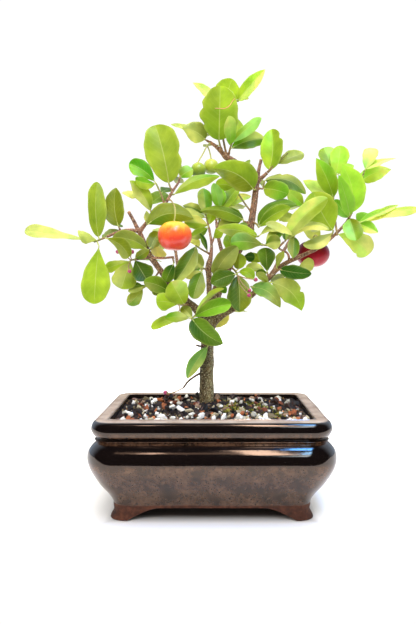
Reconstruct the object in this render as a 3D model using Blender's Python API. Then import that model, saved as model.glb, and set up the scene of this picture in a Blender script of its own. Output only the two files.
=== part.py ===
"""A Barbados cherry bonsai, about 400 mm tall, growing in a glazed rectangular pot of about 200 x 150 mm.

Sizes below are in millimetres. X runs to the right, Y away from the front, Z up. The pot's middle is the centre
of the layout, and the last step stands the whole plant with the middle of its box over the origin.

The crown is laid out as it is seen from a point in front: a reading is (across, up, depth), where across and up
are taken on the upright plane through the trunk, and depth is how far behind that plane the point lies on its line
of sight. Ripe cherries of 27 to 32 mm and leaves of 20 to 60 mm set the scale.
"""

import math
import random

import bmesh
import bpy
import numpy as np
from mathutils import Matrix, Vector
from mathutils.bvhtree import BVHTree

MM = 0.001
NAME = "barbados_cherry_bonsai"

# The layout plane and the point that it is seen from
TRUNK_Y = 24.0
EYE = np.array([3.4, -523.0, 184.6])
REACH = TRUNK_Y - EYE[1]

# Clearances and small joints
GAP = 0.3
SPUR = 1.2
SUNK = 0.6
STEEPEST = 0.4
BARE_START = 1.3
BARE_END = 0.7
SHORTEST_NECK = 0.8
STRAIGHT = 0.6

# Pot, as (height, half length, half width, corner radius) from the floor up
FOOT_LINE = 9.5
GLAZE_LINE = 14.0
RIM_TOP = 83.0
POT_OUTSIDE = [
    (0.0, 84.5, 59.5, 13.0),
    (6.5, 81.8, 56.8, 13.0),
    (FOOT_LINE, 82.3, 57.3, 13.0),
    (GLAZE_LINE, 82.8, 57.8, 13.0),
    (20.0, 86.0, 61.0, 14.0),
    (40.0, 99.4, 74.4, 22.0),
    (47.0, 102.3, 77.3, 25.0),
    (52.7, 103.0, 78.0, 26.0),
    (57.5, 101.8, 76.8, 24.0),
    (64.5, 95.6, 70.6, 16.0),
    (66.5, 94.9, 69.9, 15.0),
    (69.0, 95.4, 70.4, 15.0),
    (71.5, 97.2, 72.2, 15.0),
    (78.5, 98.2, 73.2, 15.0),
    (81.5, 97.2, 72.2, 14.0),
    (RIM_TOP, 95.2, 70.2, 13.0),
]
OPENING = (84.0, 59.0, 5.0)
POT_INSIDE = [
    (18.0, 72.0, 47.0, 8.0),
    (32.0, 81.0, 56.0, 7.0),
    (60.0, *OPENING),
    (RIM_TOP + 3.0, *OPENING),
]
UNDER_FLOOR = (74.0, 49.0, 6.0)
ARCH_FRONT = (43.0, 68.0)
ARCH_SIDE = (20.0, 43.0)
DRAIN_RADIUS = 6.0
DRAIN_X = 40.0
CORNER_STEPS = 4

# Soil
SOIL_EDGE_Z = 77.0
SOIL_MOUND = 5.0
SOIL_GRID = (14, 10)
SOIL_RELIEF = 1.3
SOIL_MARGIN = 4.0
TRUNK_FOOT_Z = 52.0
HOLE_RADIUS = 7.3

# Wood: each limb is a list of (across, up, depth, radius)
TRUNK = [
    (-6.0, TRUNK_FOOT_Z, 0, 6.5),
    (-5.7, 82, 0, 6.7),
    (-5.6, 87, 0, 7.0),
    (-5.7, 93, 0, 6.9),
    (-5.8, 104, 0, 6.6),
    (-5.3, 120, 0, 6.4),
    (-4.8, 138, 0, 6.1),
    (-3.4, 152, 0, 6.0),
    (-1.6, 164, 1, 5.6),
    (0.6, 176, 2, 5.1),
    (6.5, 194, 4, 4.8),
    (14.5, 211, 6, 4.5),
    (25.5, 228, 8, 3.9),
    (34.5, 243, 9, 3.5),
    (37.5, 255, 10, 3.3),
    (40.0, 272, 11, 3.1),
    (42.0, 288, 12, 2.9),
    (43.2, 296.5, 12, 2.7),
]
LIMBS = {
    "dead_stub": [(43, 293, 12, 2.1), (44.5, 304, 12, 1.7), (46.6, 314, 12, 1.5)],
    "top_right_twig": [(43, 293, 12, 2.0), (50, 299, 10, 1.7)],
    "top_limb": [
        (41.5, 288, 12, 2.6),
        (34, 302, 19, 2.7),
        (23, 311, 21, 2.8),
        (14, 316, 20, 3.1),
        (9, 321, 19, 2.3),
        (3, 327, 18, 1.8),
        (-3, 331, 17, 1.5),
    ],
    "left_limb": [
        (-3, 156, 0, 4.6),
        (-14, 169, -5, 3.9),
        (-22, 176, -9, 3.4),
        (-32, 185, -12, 3.0),
        (-42, 196, -14, 2.8),
        (-50, 208, -15, 2.7),
        (-60, 222, -16, 2.6),
        (-66, 235, -17, 2.4),
        (-71, 247, -18, 2.1),
    ],
    "left_stub": [(-70.5, 245, -18, 1.8), (-76, 256, -19, 1.6), (-80.5, 264, -20, 1.5)],
    "left_twig": [
        (-69, 245, -18, 1.7),
        (-79, 246.5, -20, 1.5),
        (-89, 245, -21, 1.4),
        (-99, 241, -23, 1.3),
    ],
    "left_upper_twig": [
        (-70, 245, -18, 1.8),
        (-57, 261, -14, 1.6),
        (-46, 271, -11, 1.4),
        (-38, 284, -8, 1.2),
        (-32, 293, -6, 1.0),
    ],
    "left_cross_twig": [(-61, 220, -16, 1.3), (-48, 219.5, -19, 1.1), (-38, 220.5, -22, 1.0)],
    "left_cross_spur": [(-59, 221, -16, 1.2), (-66, 219, -14, 1.1), (-71, 219, -12, 1.0)],
    "right_limb": [
        (-3, 155, 0, 4.0),
        (8, 164, -3, 3.3),
        (20, 171, -7, 2.9),
        (31, 178.5, -10, 2.7),
        (41, 187, -12, 2.5),
        (51, 197, -14, 2.4),
        (60, 207, -15, 2.3),
        (70, 214.5, -16, 2.1),
        (85, 221.5, -17, 1.9),
        (100, 228.5, -18, 1.7),
        (112, 237, -18, 1.5),
        (120, 244.5, -17, 1.4),
        (127, 252, -16, 1.3),
        (131, 257.5, -15, 1.3),
    ],
    "right_end_twig": [(130, 256, -15, 1.2), (136, 254.5, -17, 1.1)],
    "right_inner_twig": [
        (74, 216, -16, 1.2),
        (72, 224, -17, 1.0),
        (64, 229, -18, 0.9),
        (67, 233.5, -19, 0.9),
    ],
    "right_back_limb": [(58, 205, -14, 1.9), (66, 222, 10, 1.7), (76, 240, 32, 1.5), (82, 252, 46, 1.3)],
    "leader_twig": [(33, 240, 9, 1.4), (41, 234.5, 2, 1.0), (47, 232.5, -3, 0.9)],
    "centre_stem": [
        (-1.5, 168, 1, 2.8),
        (-3, 184, 1, 2.6),
        (-3.3, 199, 0, 2.6),
        (-3.7, 211, -1, 3.0),
        (-1.5, 222, 0, 1.9),
        (-1, 234, 1, 1.3),
        (-3, 247, 2, 1.2),
    ],
    "centre_back_limb": [(13, 208, 6, 2.4), (10, 222, 28, 2.1), (6, 238, 48, 1.8), (4, 252, 62, 1.5)],
    "left_back_limb": [(-30, 183, -11, 2.2), (-31, 200, 14, 1.9), (-34, 217, 36, 1.6), (-36, 231, 50, 1.4)],
    "low_twig": [(-9, 110.5, 0, 1.1), (-17, 106, -3, 1.0), (-23.5, 101, -6, 0.95), (-28, 95, -9, 0.85)],
    "low_stub": [(-7, 137, -1, 1.0), (-11, 135, -7, 0.9), (-15.5, 136, -9, 0.9)],
}
THIN_TWIG = 1.7

# Leaves: how a blade is built
BLADE_HALF = 0.35
PETIOLE_HALF = 0.6
FOOT_HALF = 0.3
ARCH = 0.05
WAVE = 0.012
# Half of a blade's width goes as u^widens * (1 - u)^closes, with u from its base to its tip
OUTLINES = {
    "oval": (0.8, 0.6),
    "round": (0.55, 0.55),
    "egg": (0.55, 0.85),
    "lance": (0.85, 0.85),
    "wedge": (1.1, 0.5),
    "drop": (1.4, 0.6),
    "spoon": (1.8, 0.5),
}
BLADE_STEPS = {
    "small": (0.0, 0.3, 0.7, 0.97),
    "middling": (0.0, 0.2, 0.5, 0.8, 0.975),
    "large": (0.0, 0.15, 0.38, 0.62, 0.84, 0.98),
}
SMALL_LEAF = 21.0
LARGE_LEAF = 42.0
FOLDED_LEAF = 38.0
SHOOT_TAPER = 0.85
BLUNTNESS = (0.85, 1.15)
SEED = 7

# Leafy sprays: the shoot's readings, its radius, the leaves that are seen one by one, and how many more grow
# from its far side. A leaf is (base across, base up, tip across, tip up, width, bow, roll, tip's depth from its
# base, fold, outline): bow lifts the midrib off its chord, upwards or, on an upright leaf, to the right; roll
# turns the seen face the same way; fold raises the two halves towards the front, or away from it where it is
# negative; the outline is oval where none is given.
SPRAYS = {
    "spray_far_left": (
        [(-99, 241, -23), (-106, 238, -24), (-113.5, 235, -25)],
        1.0,
        [
            (-112.5, 234, -180, 246, 15, -1, 35, -8, 12, "spoon"),
            (-110, 236, -128.5, 241.5, 13, 1, 35, -22, -15, "wedge"),
            (-109.5, 240, -110.5, 292.5, 19, -3, 20, 8, 18, "round"),
            (-109, 231, -113.5, 175.5, 27.5, -1, 8, -8, 12, "drop"),
            (-102, 238.5, -80, 220.5, 16, 3, -25, -18, -14, "wedge"),
        ],
        1,
    ),
    "spray_left_up": (
        [(-88, 245, -21), (-90, 250, -19)],
        0.9,
        [(-90.5, 250.5, -92.5, 287, 20, -2, -15, 10, 16, "egg")],
        1,
    ),
    "spray_arch": (
        [(-64, 252.5, -16), (-62.5, 252, -24)],
        0.9,
        [
            (-60, 251, -18, 257, 23, 8, 30, -8, -16, "lance"),
            (-66, 254.5, -63.5, 265, 8, 0, 50, 6, 16, "lance"),
        ],
        0,
    ),
    "spray_left_high": (
        [(-57, 261, -14), (-61, 268, -10), (-67, 279, -6)],
        0.9,
        [
            (-58, 264.5, -79.5, 294, 16, 2, 25, -8, 16, "lance"),
            (-68.5, 280, -87, 282, 12, 1, 55, -10, -12, "lance"),
        ],
        1,
    ),
    "spray_left_crown": (
        [(-46, 271, -11), (-49, 280, -9), (-54, 291, -7)],
        0.9,
        [
            (-55.5, 293, -80, 310.5, 18, 2, 20, -6, 18, "wedge"),
            (-55, 291, -74, 295, 13, -1, 35, -16, -12),
        ],
        1,
    ),
    "spray_big_left": (
        [(-38, 284, -8), (-40.5, 287.5, -5), (-42, 292, -3)],
        0.9,
        [
            (-42, 291, -55, 347, 35, 1, 6, 6, 12, "round"),
            (-43, 294, -54, 347, 26, 0, 15, 24, 12),
        ],
        0,
    ),
    "spray_left_long": (
        [(-40.3, 280.6, -8.8), (-37, 280.6, -15)],
        0.9,
        [(-35.5, 280, 7, 298, 17, 6, 48, -10, -14, "lance")],
        0,
    ),
    "spray_left_tip": (
        [(-32, 293, -6), (-31, 299, -4)],
        0.8,
        [(-31, 292.5, -18.5, 304.5, 14, 1, 25, 14, 14, "oval"), (-31, 300, -38, 313, 11, 0, 30, 20, 14)],
        1,
    ),
    "spray_top_left": (
        [(-3, 331, 17), (-7.5, 333.5, 15)],
        0.9,
        [
            (-3, 332.5, -29, 344, 21, 3, 15, -10, -14, "egg"),
            (-8, 335, -40, 348, 10, 0, 50, 10, 14, "lance"),
        ],
        0,
    ),
    "spray_top_big": (
        [(10, 320, 19), (7.5, 327, 14), (6, 333, 11)],
        1.0,
        [(6, 332, 7.5, 385, 38, 0, 0, -6, 12, "round")],
        1,
    ),
    "spray_top_high": (
        [(14, 316, 20), (11, 330, 25), (8, 347, 25), (7, 362, 23), (14, 368, 21), (25, 370.5, 19)],
        1.1,
        [
            (12, 366.5, 19, 391.5, 25, -1, 5, -4, 12, "round"),
            (25, 366, 50.5, 400.5, 15, 0, 15, -8, 16, "egg"),
            (6, 364, -19, 388, 12, 1, 40, 6, 14, "lance"),
        ],
        2,
    ),
    "spray_top_right": (
        [(15, 317, 20), (17, 325, 16), (19, 331, 14)],
        1.0,
        [
            (17, 327, 15.5, 356, 15, 0, 55, -8, 20, "oval"),
            (18.5, 329, 25, 352.5, 17, 1, 15, 3, 16, "wedge"),
            (20, 331, 47, 354, 14, 2, 35, -12, -14, "oval"),
            (18.5, 325, 50, 334, 18, 2, 20, 10, 16, "oval"),
        ],
        0,
    ),
    "spray_leader_left": (
        [(42, 286, 12), (41, 285, 3)],
        1.0,
        [(39, 286, 0, 305.5, 28, 5, 12, -10, 14, "egg")],
        0,
    ),
    "spray_top_twig": (
        [(50, 299, 10), (57, 306, 8), (64, 313, 6), (72, 320.5, 4)],
        1.3,
        [
            (54, 304, 56.5, 343, 24, 3, -25, 6, 22, "round"),
            (62, 309.5, 87.5, 320, 14, 0, 30, 6, 14, "oval"),
        ],
        1,
    ),
    "spray_leader_right": (
        [(42, 286, 12), (48.5, 286.5, 9), (50, 293.5, 9)],
        0.9,
        [
            (49.5, 282.5, 72.5, 281, 19, 1, 10, -12, 12, "round"),
            (51, 294.5, 89.5, 281, 20, 8, 42, -6, -16, "egg"),
        ],
        1,
    ),
    "spray_leader_low_right": (
        [(37.5, 255, 10), (42.5, 252, 2), (44.5, 249, -3)],
        1.0,
        [
            (43.5, 251, 81, 270, 22, 11, 42, -8, -16, "lance"),
            (46, 249, 75, 268, 15, 2, 25, -18, 14, "lance"),
        ],
        0,
    ),
    "spray_leader_arch": (
        [(37, 253, 10), (29.5, 255, 11)],
        0.9,
        [
            (29, 256.5, -12, 264.5, 17, 6, 40, -18, -16, "egg"),
            (29.5, 257, 14, 262, 11, 1, 20, 10, 14, "lance"),
        ],
        0,
    ),
    "spray_bright_left": (
        [(34, 242, 9), (40, 240, 1), (44.5, 240.5, -3)],
        1.0,
        [
            (43.5, 241, 4.5, 247, 15, 3, 15, -16, -14, "egg"),
            (46, 242, 70, 246, 11, 3, 40, -4, 14, "lance"),
        ],
        1,
    ),
    "spray_teal": (
        [(47, 232.5, -3), (50, 232, -10), (53, 231.5, -12)],
        0.9,
        [
            (49.5, 231.5, 17.5, 234.5, 17, 2, 5, -14, -12, "wedge"),
            (49.5, 230, 65.5, 235.5, 14, 1, 5, -14, 12, "wedge"),
            (52, 233.5, 67, 246, 12, 1, 25, 10, 14),
        ],
        0,
    ),
    "spray_mid_right": (
        [(60, 207, -15), (63.5, 208.5, -22), (73, 209.5, -21), (82, 210, -15)],
        0.9,
        [
            (64, 209.5, 95, 204.5, 13.5, -1, 10, -12, 12, "round"),
            (61.5, 211, 68.5, 226, 9, 0, 45, -6, 16),
            (83, 211.5, 97.5, 212.5, 13, 1, 10, 6, 12, "wedge"),
        ],
        0,
    ),
    "spray_mid_right_dark": (
        [(54, 200, -14.5), (52.5, 206, -7)],
        0.9,
        [
            (52.5, 206, 51, 229.5, 17, 0, 8, 4, 12, "wedge"),
            (55, 206, 42, 202.5, 9, 1, 15, -3, 12),
            (50, 207, 32, 210, 9, 2, 20, 3, 16),
        ],
        0,
    ),
    "spray_yellow": (
        [(67, 233.5, -19), (72, 238, -20), (79, 241, -21)],
        0.8,
        [
            (79, 241.5, 51, 252.5, 9, 1, 35, -12, 16, "oval"),
            (76, 240.5, 112, 247, 11, 8, 52, -12, -16, "oval"),
            (81, 240, 77, 219, 12, 0, 15, -12, 14, "lance"),
            (67.5, 235, 110.5, 277, 18, 3, 18, -20, 16, "oval"),
            (70, 236, 70.5, 243, 7, 0, 10, 7, 12),
        ],
        0,
    ),
    "spray_right_back": (
        [(82, 252, 46), (86, 262, 42), (88, 272, 36)],
        1.0,
        [
            (87, 270, 72, 284.5, 14, 0, 10, -8, 14),
            (83, 254, 96, 264, 16, 0, 10, -12, -12),
            (79, 250, 61, 261, 11, 0, 15, 4, 14),
            (92, 256, 102, 237, 15, 0, 8, -10, 12),
        ],
        3,
    ),
    "spray_right_olive": (
        [(114, 239, -18), (114.5, 241, -24), (116, 246, -22)],
        0.9,
        [
            (116, 246, 97, 283, 31, -2, 8, 2, 12, "oval"),
            (114, 244, 87, 232.5, 12.5, -3, 20, -5, -12, "oval"),
        ],
        0,
    ),
    "spray_right_high": (
        [
            (119, 243.5, -17),
            (119.5, 243, -24),
            (117.5, 258, -12),
            (116, 274, -3),
            (117.5, 290, 0),
            (118, 300, 1),
        ],
        1.0,
        [
            (116, 277, 99.5, 315.5, 19, 1, 12, -12, 16, "lance"),
            (113, 280, 87, 294, 15, 0, 15, 8, 12, "egg"),
            (117, 300, 107, 325.5, 17, 0, 15, 10, 14, "wedge"),
            (120, 300, 122.5, 327.5, 18, 1, 0, 4, 12, "oval"),
            (120.5, 300, 135.5, 308.5, 9, 1, 25, 12, 14),
            (120.5, 240, 150.5, 223.5, 21, 3, 8, 4, 12, "wedge"),
        ],
        2,
    ),
    "spray_right_tall": (
        [(131, 257.5, -15), (131.5, 258.5, -21), (134, 263, -21)],
        0.9,
        [
            (137, 262, 124.5, 309.5, 25, 4, 8, -12, 14, "lance"),
            (131.5, 260, 121, 299.5, 14, 0, 30, -14, 16, "egg"),
            (131, 258, 138, 236.5, 18, 0, 8, -16, 12, "oval"),
            (131, 258.5, 117.5, 276, 13, -1, 10, 14, 14, "egg"),
        ],
        0,
    ),
    "spray_right_top": (
        [(130, 255.5, -15), (136, 270, 2), (141, 288, 8), (146, 304, 8)],
        1.0,
        [
            (146.5, 304, 154, 325, 15, 0, 15, 4, 14, "wedge"),
            (147, 305, 176, 315, 12, 1, 50, -8, 16, "egg"),
            (141.5, 294, 171.5, 304.5, 16.5, 3, 20, 8, -12, "egg"),
        ],
        2,
    ),
    "spray_right_end": (
        [(136, 254.5, -17), (141, 252.5, -19)],
        0.9,
        [
            (142, 252.5, 198, 267, 13, 5, 40, -10, -14, "wedge"),
            (140, 254, 178.5, 270.5, 11, -1, 45, 10, 14, "lance"),
            (137.5, 255, 153, 260, 14, 2, 25, 16, 14, "egg"),
            (140.5, 251, 159, 244, 12, 0, 25, -12, 16, "egg"),
        ],
        0,
    ),
    "spray_low_bright": (
        [(41, 187, -12), (37, 192.5, -17)],
        0.9,
        [(36, 194, 65, 172, 15, 5, 10, -14, 14, "egg")],
        1,
    ),
    "spray_low_pale": (
        [(51, 197, -14), (55, 195.5, -21)],
        0.9,
        [
            (57, 196, 85.5, 169, 21, 6, 8, -8, -12, "lance"),
            (54.5, 196.5, 42, 204.5, 8, 1, 20, -6, 12),
        ],
        1,
    ),
    "spray_inner_dark": (
        [(16, 213, 6), (22, 207, -3), (24, 203, -7)],
        1.0,
        [
            (24, 202.5, 26, 168, 23, 1, 8, -14, 14, "oval"),
            (22, 204, -1, 195, 17, 1, 10, -3, 12),
            (25.5, 206, 39, 199.5, 11, 3, 20, -8, 14),
            (25, 209, 26, 224, 14, 0, 10, 4, 14, "round"),
        ],
        0,
    ),
    "spray_inner_olive": (
        [(4, 188, 3), (2, 197, -9), (2, 203, -13)],
        1.0,
        [
            (1.5, 202.5, 24, 230.5, 20, 3, -30, -10, 20, "round"),
            (3, 200, 13, 186, 9, 0, 15, 2, 12),
        ],
        0,
    ),
    "spray_inner_left": (
        [(-3.6, 207, 0), (-8, 209.5, -6), (-10.5, 209, -9)],
        1.0,
        [
            (-9, 211, -26, 223.5, 16, 0, 8, -8, 12, "round"),
            (-11.5, 208.5, -28, 208.5, 9, 1, 20, 4, 12),
            (-11, 207, -27.5, 203, 9, -1, 20, -12, -12),
            (-10, 206, -18.5, 180.5, 16, -1, 8, -12, 16, "oval"),
        ],
        0,
    ),
    "spray_dark_curl": (
        [(-1.5, 223, 0), (-9, 227, -4), (-16, 231.5, -9)],
        0.9,
        [
            (-18, 233, -36, 197, 18, -2, 12, -12, 16, "oval"),
            (-5, 226.5, -12.5, 243, 9, 0, 50, -6, 16),
            (-12, 230.5, -20, 239.5, 9, 0, 25, 10, 12),
        ],
        0,
    ),
    "spray_centre_top": (
        [(-3, 247, 2), (-5, 255, 2), (-6.5, 262, 2)],
        0.9,
        [
            (-6.5, 264, -9, 286.5, 15, 0, 15, 6, 14, "round"),
            (-7.5, 262.5, -28.5, 270, 10, 1, 35, 6, 14, "lance"),
            (-7, 258.5, -28, 265, 11, 1, 40, -10, -12),
            (-4, 249.5, -27, 254, 13, 1, 10, -10, 12, "oval"),
            (-4.5, 248.5, -21, 240, 10, -1, 12, -16, -12),
            (-4, 250, 2.5, 268, 10, 0, 10, 8, 14, "oval"),
        ],
        0,
    ),
    "spray_centre_mid": (
        [(-1, 233, 1), (3, 243, 7), (6.5, 255, 10), (8, 267, 10)],
        0.9,
        [
            (4.5, 246, 25.5, 264, 18, 0, 8, 2, 14, "wedge"),
            (6.5, 251, 25, 250.5, 10, 2, 15, 8, -12),
            (1.5, 234.5, 11, 246, 10, 1, 20, -8, 14),
            (6.5, 267.5, 1, 291.5, 13, 0, 15, -8, 14),
            (8, 269.5, 9, 286, 10, 0, 35, 8, 14),
            (9.5, 267, 27, 290, 15, 0, 30, -4, 16, "egg"),
            (9, 267.5, 37, 279, 12, 1, 20, 10, 14, "lance"),
        ],
        0,
    ),
    "spray_centre_high": (
        [(38.5, 262, 10.5), (31, 272, 22), (23, 284, 28)],
        0.9,
        [
            (21.5, 286, 3, 288.5, 14, 3, 8, -6, -12, "oval"),
            (25, 283, 36, 314, 11, 1, 20, 10, 14, "lance"),
        ],
        2,
    ),
    "spray_inner_right": (
        [(19, 218, 7), (26, 220, 0), (29.5, 221, -3)],
        0.9,
        [
            (30.5, 221, 40.5, 220.5, 10, 0, 5, -3, 12),
            (28, 222.5, 47.5, 219, 10, 0, 8, 12, 12),
            (21, 221, 14, 242.5, 13, 0, 8, 4, 12, "oval"),
        ],
        0,
    ),
    "spray_lower_left_front": (
        [(-22, 176, -9), (-26.5, 174.5, -17), (-33, 175, -21)],
        1.0,
        [
            (-27, 175.5, -39.5, 197, 22, 0, 5, -14, 12, "oval"),
            (-33, 175.5, -54, 178, 17, 1, 5, -8, -12, "wedge"),
        ],
        0,
    ),
    "spray_lower_left_mid": (
        [(-34, 187, -12.5), (-40, 186, -19)],
        0.9,
        [
            (-41, 186.5, -66, 196.5, 15, 2, 12, -10, 16, "oval"),
            (-42, 184.5, -58, 187.5, 8, 0, 20, 2, 12),
        ],
        0,
    ),
    "spray_trunk_front": (
        [(-13, 168, -4.5), (-17, 164, -14), (-20, 161, -19)],
        1.1,
        [
            (-17, 160.5, 18, 175.5, 16, 2, 10, -16, 14, "wedge"),
            (-21.5, 160, 10, 137.5, 20, -3, 5, -12, 12, "egg"),
            (-23, 162, -45.5, 162, 10, 1, 8, -8, 12),
            (-18, 166, 11.5, 190, 11, 2, 52, -14, 18),
            (-19.5, 163, -29.5, 173, 10, 0, 10, -2, 12),
            (-21, 163, -58.5, 152, 10, 3, 12, 4, 12, "wedge"),
        ],
        0,
    ),
    "spray_trunk_back": (
        [(3, 160, -1.5), (9, 169, 9), (16, 172, 14)],
        1.0,
        [(20, 172, 2, 153, 14, 0, 10, -2, -12, "lance")],
        2,
    ),
    "spray_low_leaf": (
        [(-4.8, 137, 0), (-4.5, 136, -9)],
        0.9,
        [(-4.5, 134.5, -24.5, 104, 12.5, 1, 12, -10, 14, "lance")],
        0,
    ),
    "spray_left_low": (
        [(-50, 208, -15), (-57, 199, -8), (-66, 191, -6)],
        0.9,
        [
            (-67, 190.5, -81, 175, 13, -1, 12, -10, 14, "wedge"),
            (-67, 192.5, -80, 190.5, 10, 0, 15, 6, 12),
            (-63, 193, -80.5, 187, 8, 1, 20, -14, -12),
        ],
        0,
    ),
    "spray_left_pale": (
        [(-71, 219, -12), (-78, 217.5, -14)],
        0.9,
        [
            (-79, 217, -87.5, 190, 23, 0, 5, -8, -12, "wedge"),
            (-75, 220, -63, 198.5, 20, 0, 8, 4, 12, "wedge"),
            (-74, 219.5, -61, 227, 9, 0, 10, -6, 12),
            (-79.5, 216.5, -103, 209, 11, 0, 20, 8, 12, "wedge"),
        ],
        1,
    ),
    "spray_left_inner": (
        [(-61.5, 225, -16), (-59.5, 228.5, -23)],
        0.9,
        [
            (-63, 228, -96, 238, 16, 4, 5, -8, 12, "oval"),
            (-61, 230.5, -50.5, 244, 14, 1, 10, 14, 12, "round"),
            (-56.5, 229, -44, 223, 12, 0, 15, 14, -12, "round"),
        ],
        0,
    ),
    "spray_left_cross": (
        [(-38, 220.5, -22), (-37, 215, -22)],
        0.9,
        [(-37.5, 213.5, -45, 197, 13, 0, 10, 8, 12)],
        0,
    ),
    "spray_back_centre": (
        [(4, 252, 62), (3, 261, 69), (7, 272, 71)],
        1.1,
        [],
        6,
    ),
    "spray_back_left": (
        [(-36, 231, 50), (-37, 240, 56), (-38, 249, 60)],
        1.2,
        [],
        6,
    ),
}

# The leaves that the front hides
EXTRA_LENGTH = (26.0, 40.0)
EXTRA_SLIMNESS = 0.42
EXTRA_SPREAD = 0.75
EXTRA_DEPTH = 0.8
EXTRA_RISE = (-0.25, 0.45)
EXTRA_FACING = (0.15, -0.25, 1.0)
EXTRA_FOLD = 14.0
EXTRA_ROLL = 25.0
EXTRA_NECK = 3.0

# Nudges that keep the leaves clear of each other
TEST_CLEARANCE = 0.4
BASE_NUDGES = (0, -4, 4, -8, 8, -12)
TIP_NUDGES = (0, 4, -4, 8, -8, 12, -12, 16, -16, 20, -20, 26, -26, 32, -32)
ROLL_NUDGES = (0, 10, -10, 20, -20, 35, -35)
NUDGES = sorted(
    ((base, tip, roll) for base in BASE_NUDGES for tip in TIP_NUDGES for roll in ROLL_NUDGES),
    key=lambda nudge: abs(nudge[0]) / 3 + abs(nudge[1]) / 4 + abs(nudge[2]) / 10,
)

# Cherries: the middle's reading, diameter and height, and the stalk's readings from the twig to the fruit's top
CHERRIES = {
    "orange": (
        (-36.5, 241, -26),
        31.4,
        28.5,
        [(-43, 276.2, -9.8), (-39.5, 274.5, -14.5), (-36.4, 269, -21), (-35.8, 262, -25.5)],
    ),
    "crimson": ((96, 223.8, 3), 32.0, 27.0, [(105, 232, -18), (103, 238.5, -10), (98.5, 241.5, -1)]),
    "green_left": ((-13.7, 304, 6), 14.4, 15.2, [(-2, 330.3, 17), (-5, 327.5, 9), (-9.5, 319, 7)]),
    "green_right": ((-1.4, 307.5, 15), 14.6, 15.4, [(-5, 327.5, 9), (-2.8, 322, 13)]),
}
LOBES = 3
LOBE_DEPTH = 0.025
DIMPLE = 0.17
DIMPLE_RADIUS = 0.35
LOWER_DIMPLE = 0.35
STALK_RADIUS = 0.75
STALK_SUNK = 1.5
UPRIGHT_END = 2.5

# Flower buds: pedicels from the spray that bears them, each a list of readings that ends at the bud
BUD_RADIUS = 1.8
PEDICEL_RADIUS = 0.6
BUDS = {
    "spray_left_pale": [
        [(-78, 217.5, -14), (-83, 221, -19), (-91, 225.5, -21)],
        [(-77, 217.5, -14), (-78.5, 221, -20), (-77, 225.5, -22)],
        [(-78, 217.5, -14), (-80.5, 212, -22), (-79.5, 207, -24)],
    ],
    "spray_lower_left_front": [[(-32, 175, -21), (-31.5, 170, -23), (-33.5, 166.5, -24)]],
    "spray_inner_dark": [
        [(24, 203, -7), (31, 200.5, -19), (41.5, 198.8, -22)],
        [(24, 203, -7), (28, 196, -21), (35.5, 188.5, -24)],
        [(24, 203, -7), (26.5, 194, -20), (35, 184, -26)],
    ],
}
LOW_BUD = [(-28, 95, -9), (-34, 92, -11), (-40, 89.9, -13), (-45, 90.5, -14)]
LOW_BUD_RADIUS = 2.0

# Colour and roughness of each material, and the angle past which an edge stays sharp
FINISHES = {
    "pot": ((0.022, 0.014, 0.011), 0.2),
    "soil": ((0.030, 0.022, 0.016), 0.95),
    "wood": ((0.16, 0.12, 0.07), 0.8),
    "fruit_orange": ((0.75, 0.10, 0.02), 0.25),
    "fruit_crimson": ((0.30, 0.01, 0.02), 0.25),
    "fruit_green": ((0.30, 0.36, 0.05), 0.35),
    "stalk": ((0.40, 0.46, 0.15), 0.5),
    "leaf": ((0.16, 0.33, 0.03), 0.4),
}
SHARP_ANGLE = 40.0


def seen(reading):
    """A reading (across, up, depth) as a point on its line of sight, this deep behind the trunk's plane."""
    across, up, depth = reading[:3]
    on_plane = np.array([across, TRUNK_Y, up])
    return EYE + (on_plane - EYE) * (REACH + depth) / REACH


def unit(vector):
    return vector / np.linalg.norm(vector)


def placed(readings):
    return np.array([seen(reading) for reading in readings])


def make_material(name, colour, roughness):
    material = bpy.data.materials.new(name)
    material.use_nodes = True
    shader = material.node_tree.nodes["Principled BSDF"]
    shader.inputs["Base Color"].default_value = (*colour, 1.0)
    shader.inputs["Roughness"].default_value = roughness
    return material


def add_object(name, mesh, collection, material=None):
    obj = bpy.data.objects.new(name, mesh)
    collection.objects.link(obj)
    if material:
        mesh.materials.clear()
        mesh.materials.append(material)
    return obj


def mesh_from(name, points, faces):
    """A mesh from points in millimetres and faces that close it, turned so that they face out."""
    mesh = bpy.data.meshes.new(name)
    mesh.from_pydata((np.asarray(points) * MM).tolist(), [], [tuple(int(i) for i in face) for face in faces])
    work = bmesh.new()
    work.from_mesh(mesh)
    bmesh.ops.recalc_face_normals(work, faces=work.faces)
    if work.calc_volume(signed=True) < 0:
        bmesh.ops.reverse_faces(work, faces=work.faces)
    work.to_mesh(mesh)
    work.free()
    return mesh


def evaluated_mesh(obj):
    bpy.context.view_layer.update()
    graph = bpy.context.evaluated_depsgraph_get()
    return bpy.data.meshes.new_from_object(obj.evaluated_get(graph))


def tube(name, points, radii, resolution):
    """A round rod along the points, from a curve with a bevel, made a mesh with its caps welded."""
    curve = bpy.data.curves.new(name, "CURVE")
    curve.dimensions = "3D"
    curve.bevel_depth = MM
    curve.bevel_resolution = resolution
    curve.use_fill_caps = True
    spline = curve.splines.new("POLY")
    spline.points.add(len(points) - 1)
    for point, place, radius in zip(spline.points, points, radii):
        point.co = (*(place * MM), 1.0)
        point.radius = radius
    obj = add_object(name, curve, helpers)
    mesh = evaluated_mesh(obj)
    bpy.data.objects.remove(obj)
    bpy.data.curves.remove(curve)
    work = bmesh.new()
    work.from_mesh(mesh)
    bmesh.ops.remove_doubles(work, verts=work.verts, dist=1e-6)
    work.to_mesh(mesh)
    work.free()
    return mesh


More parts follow.
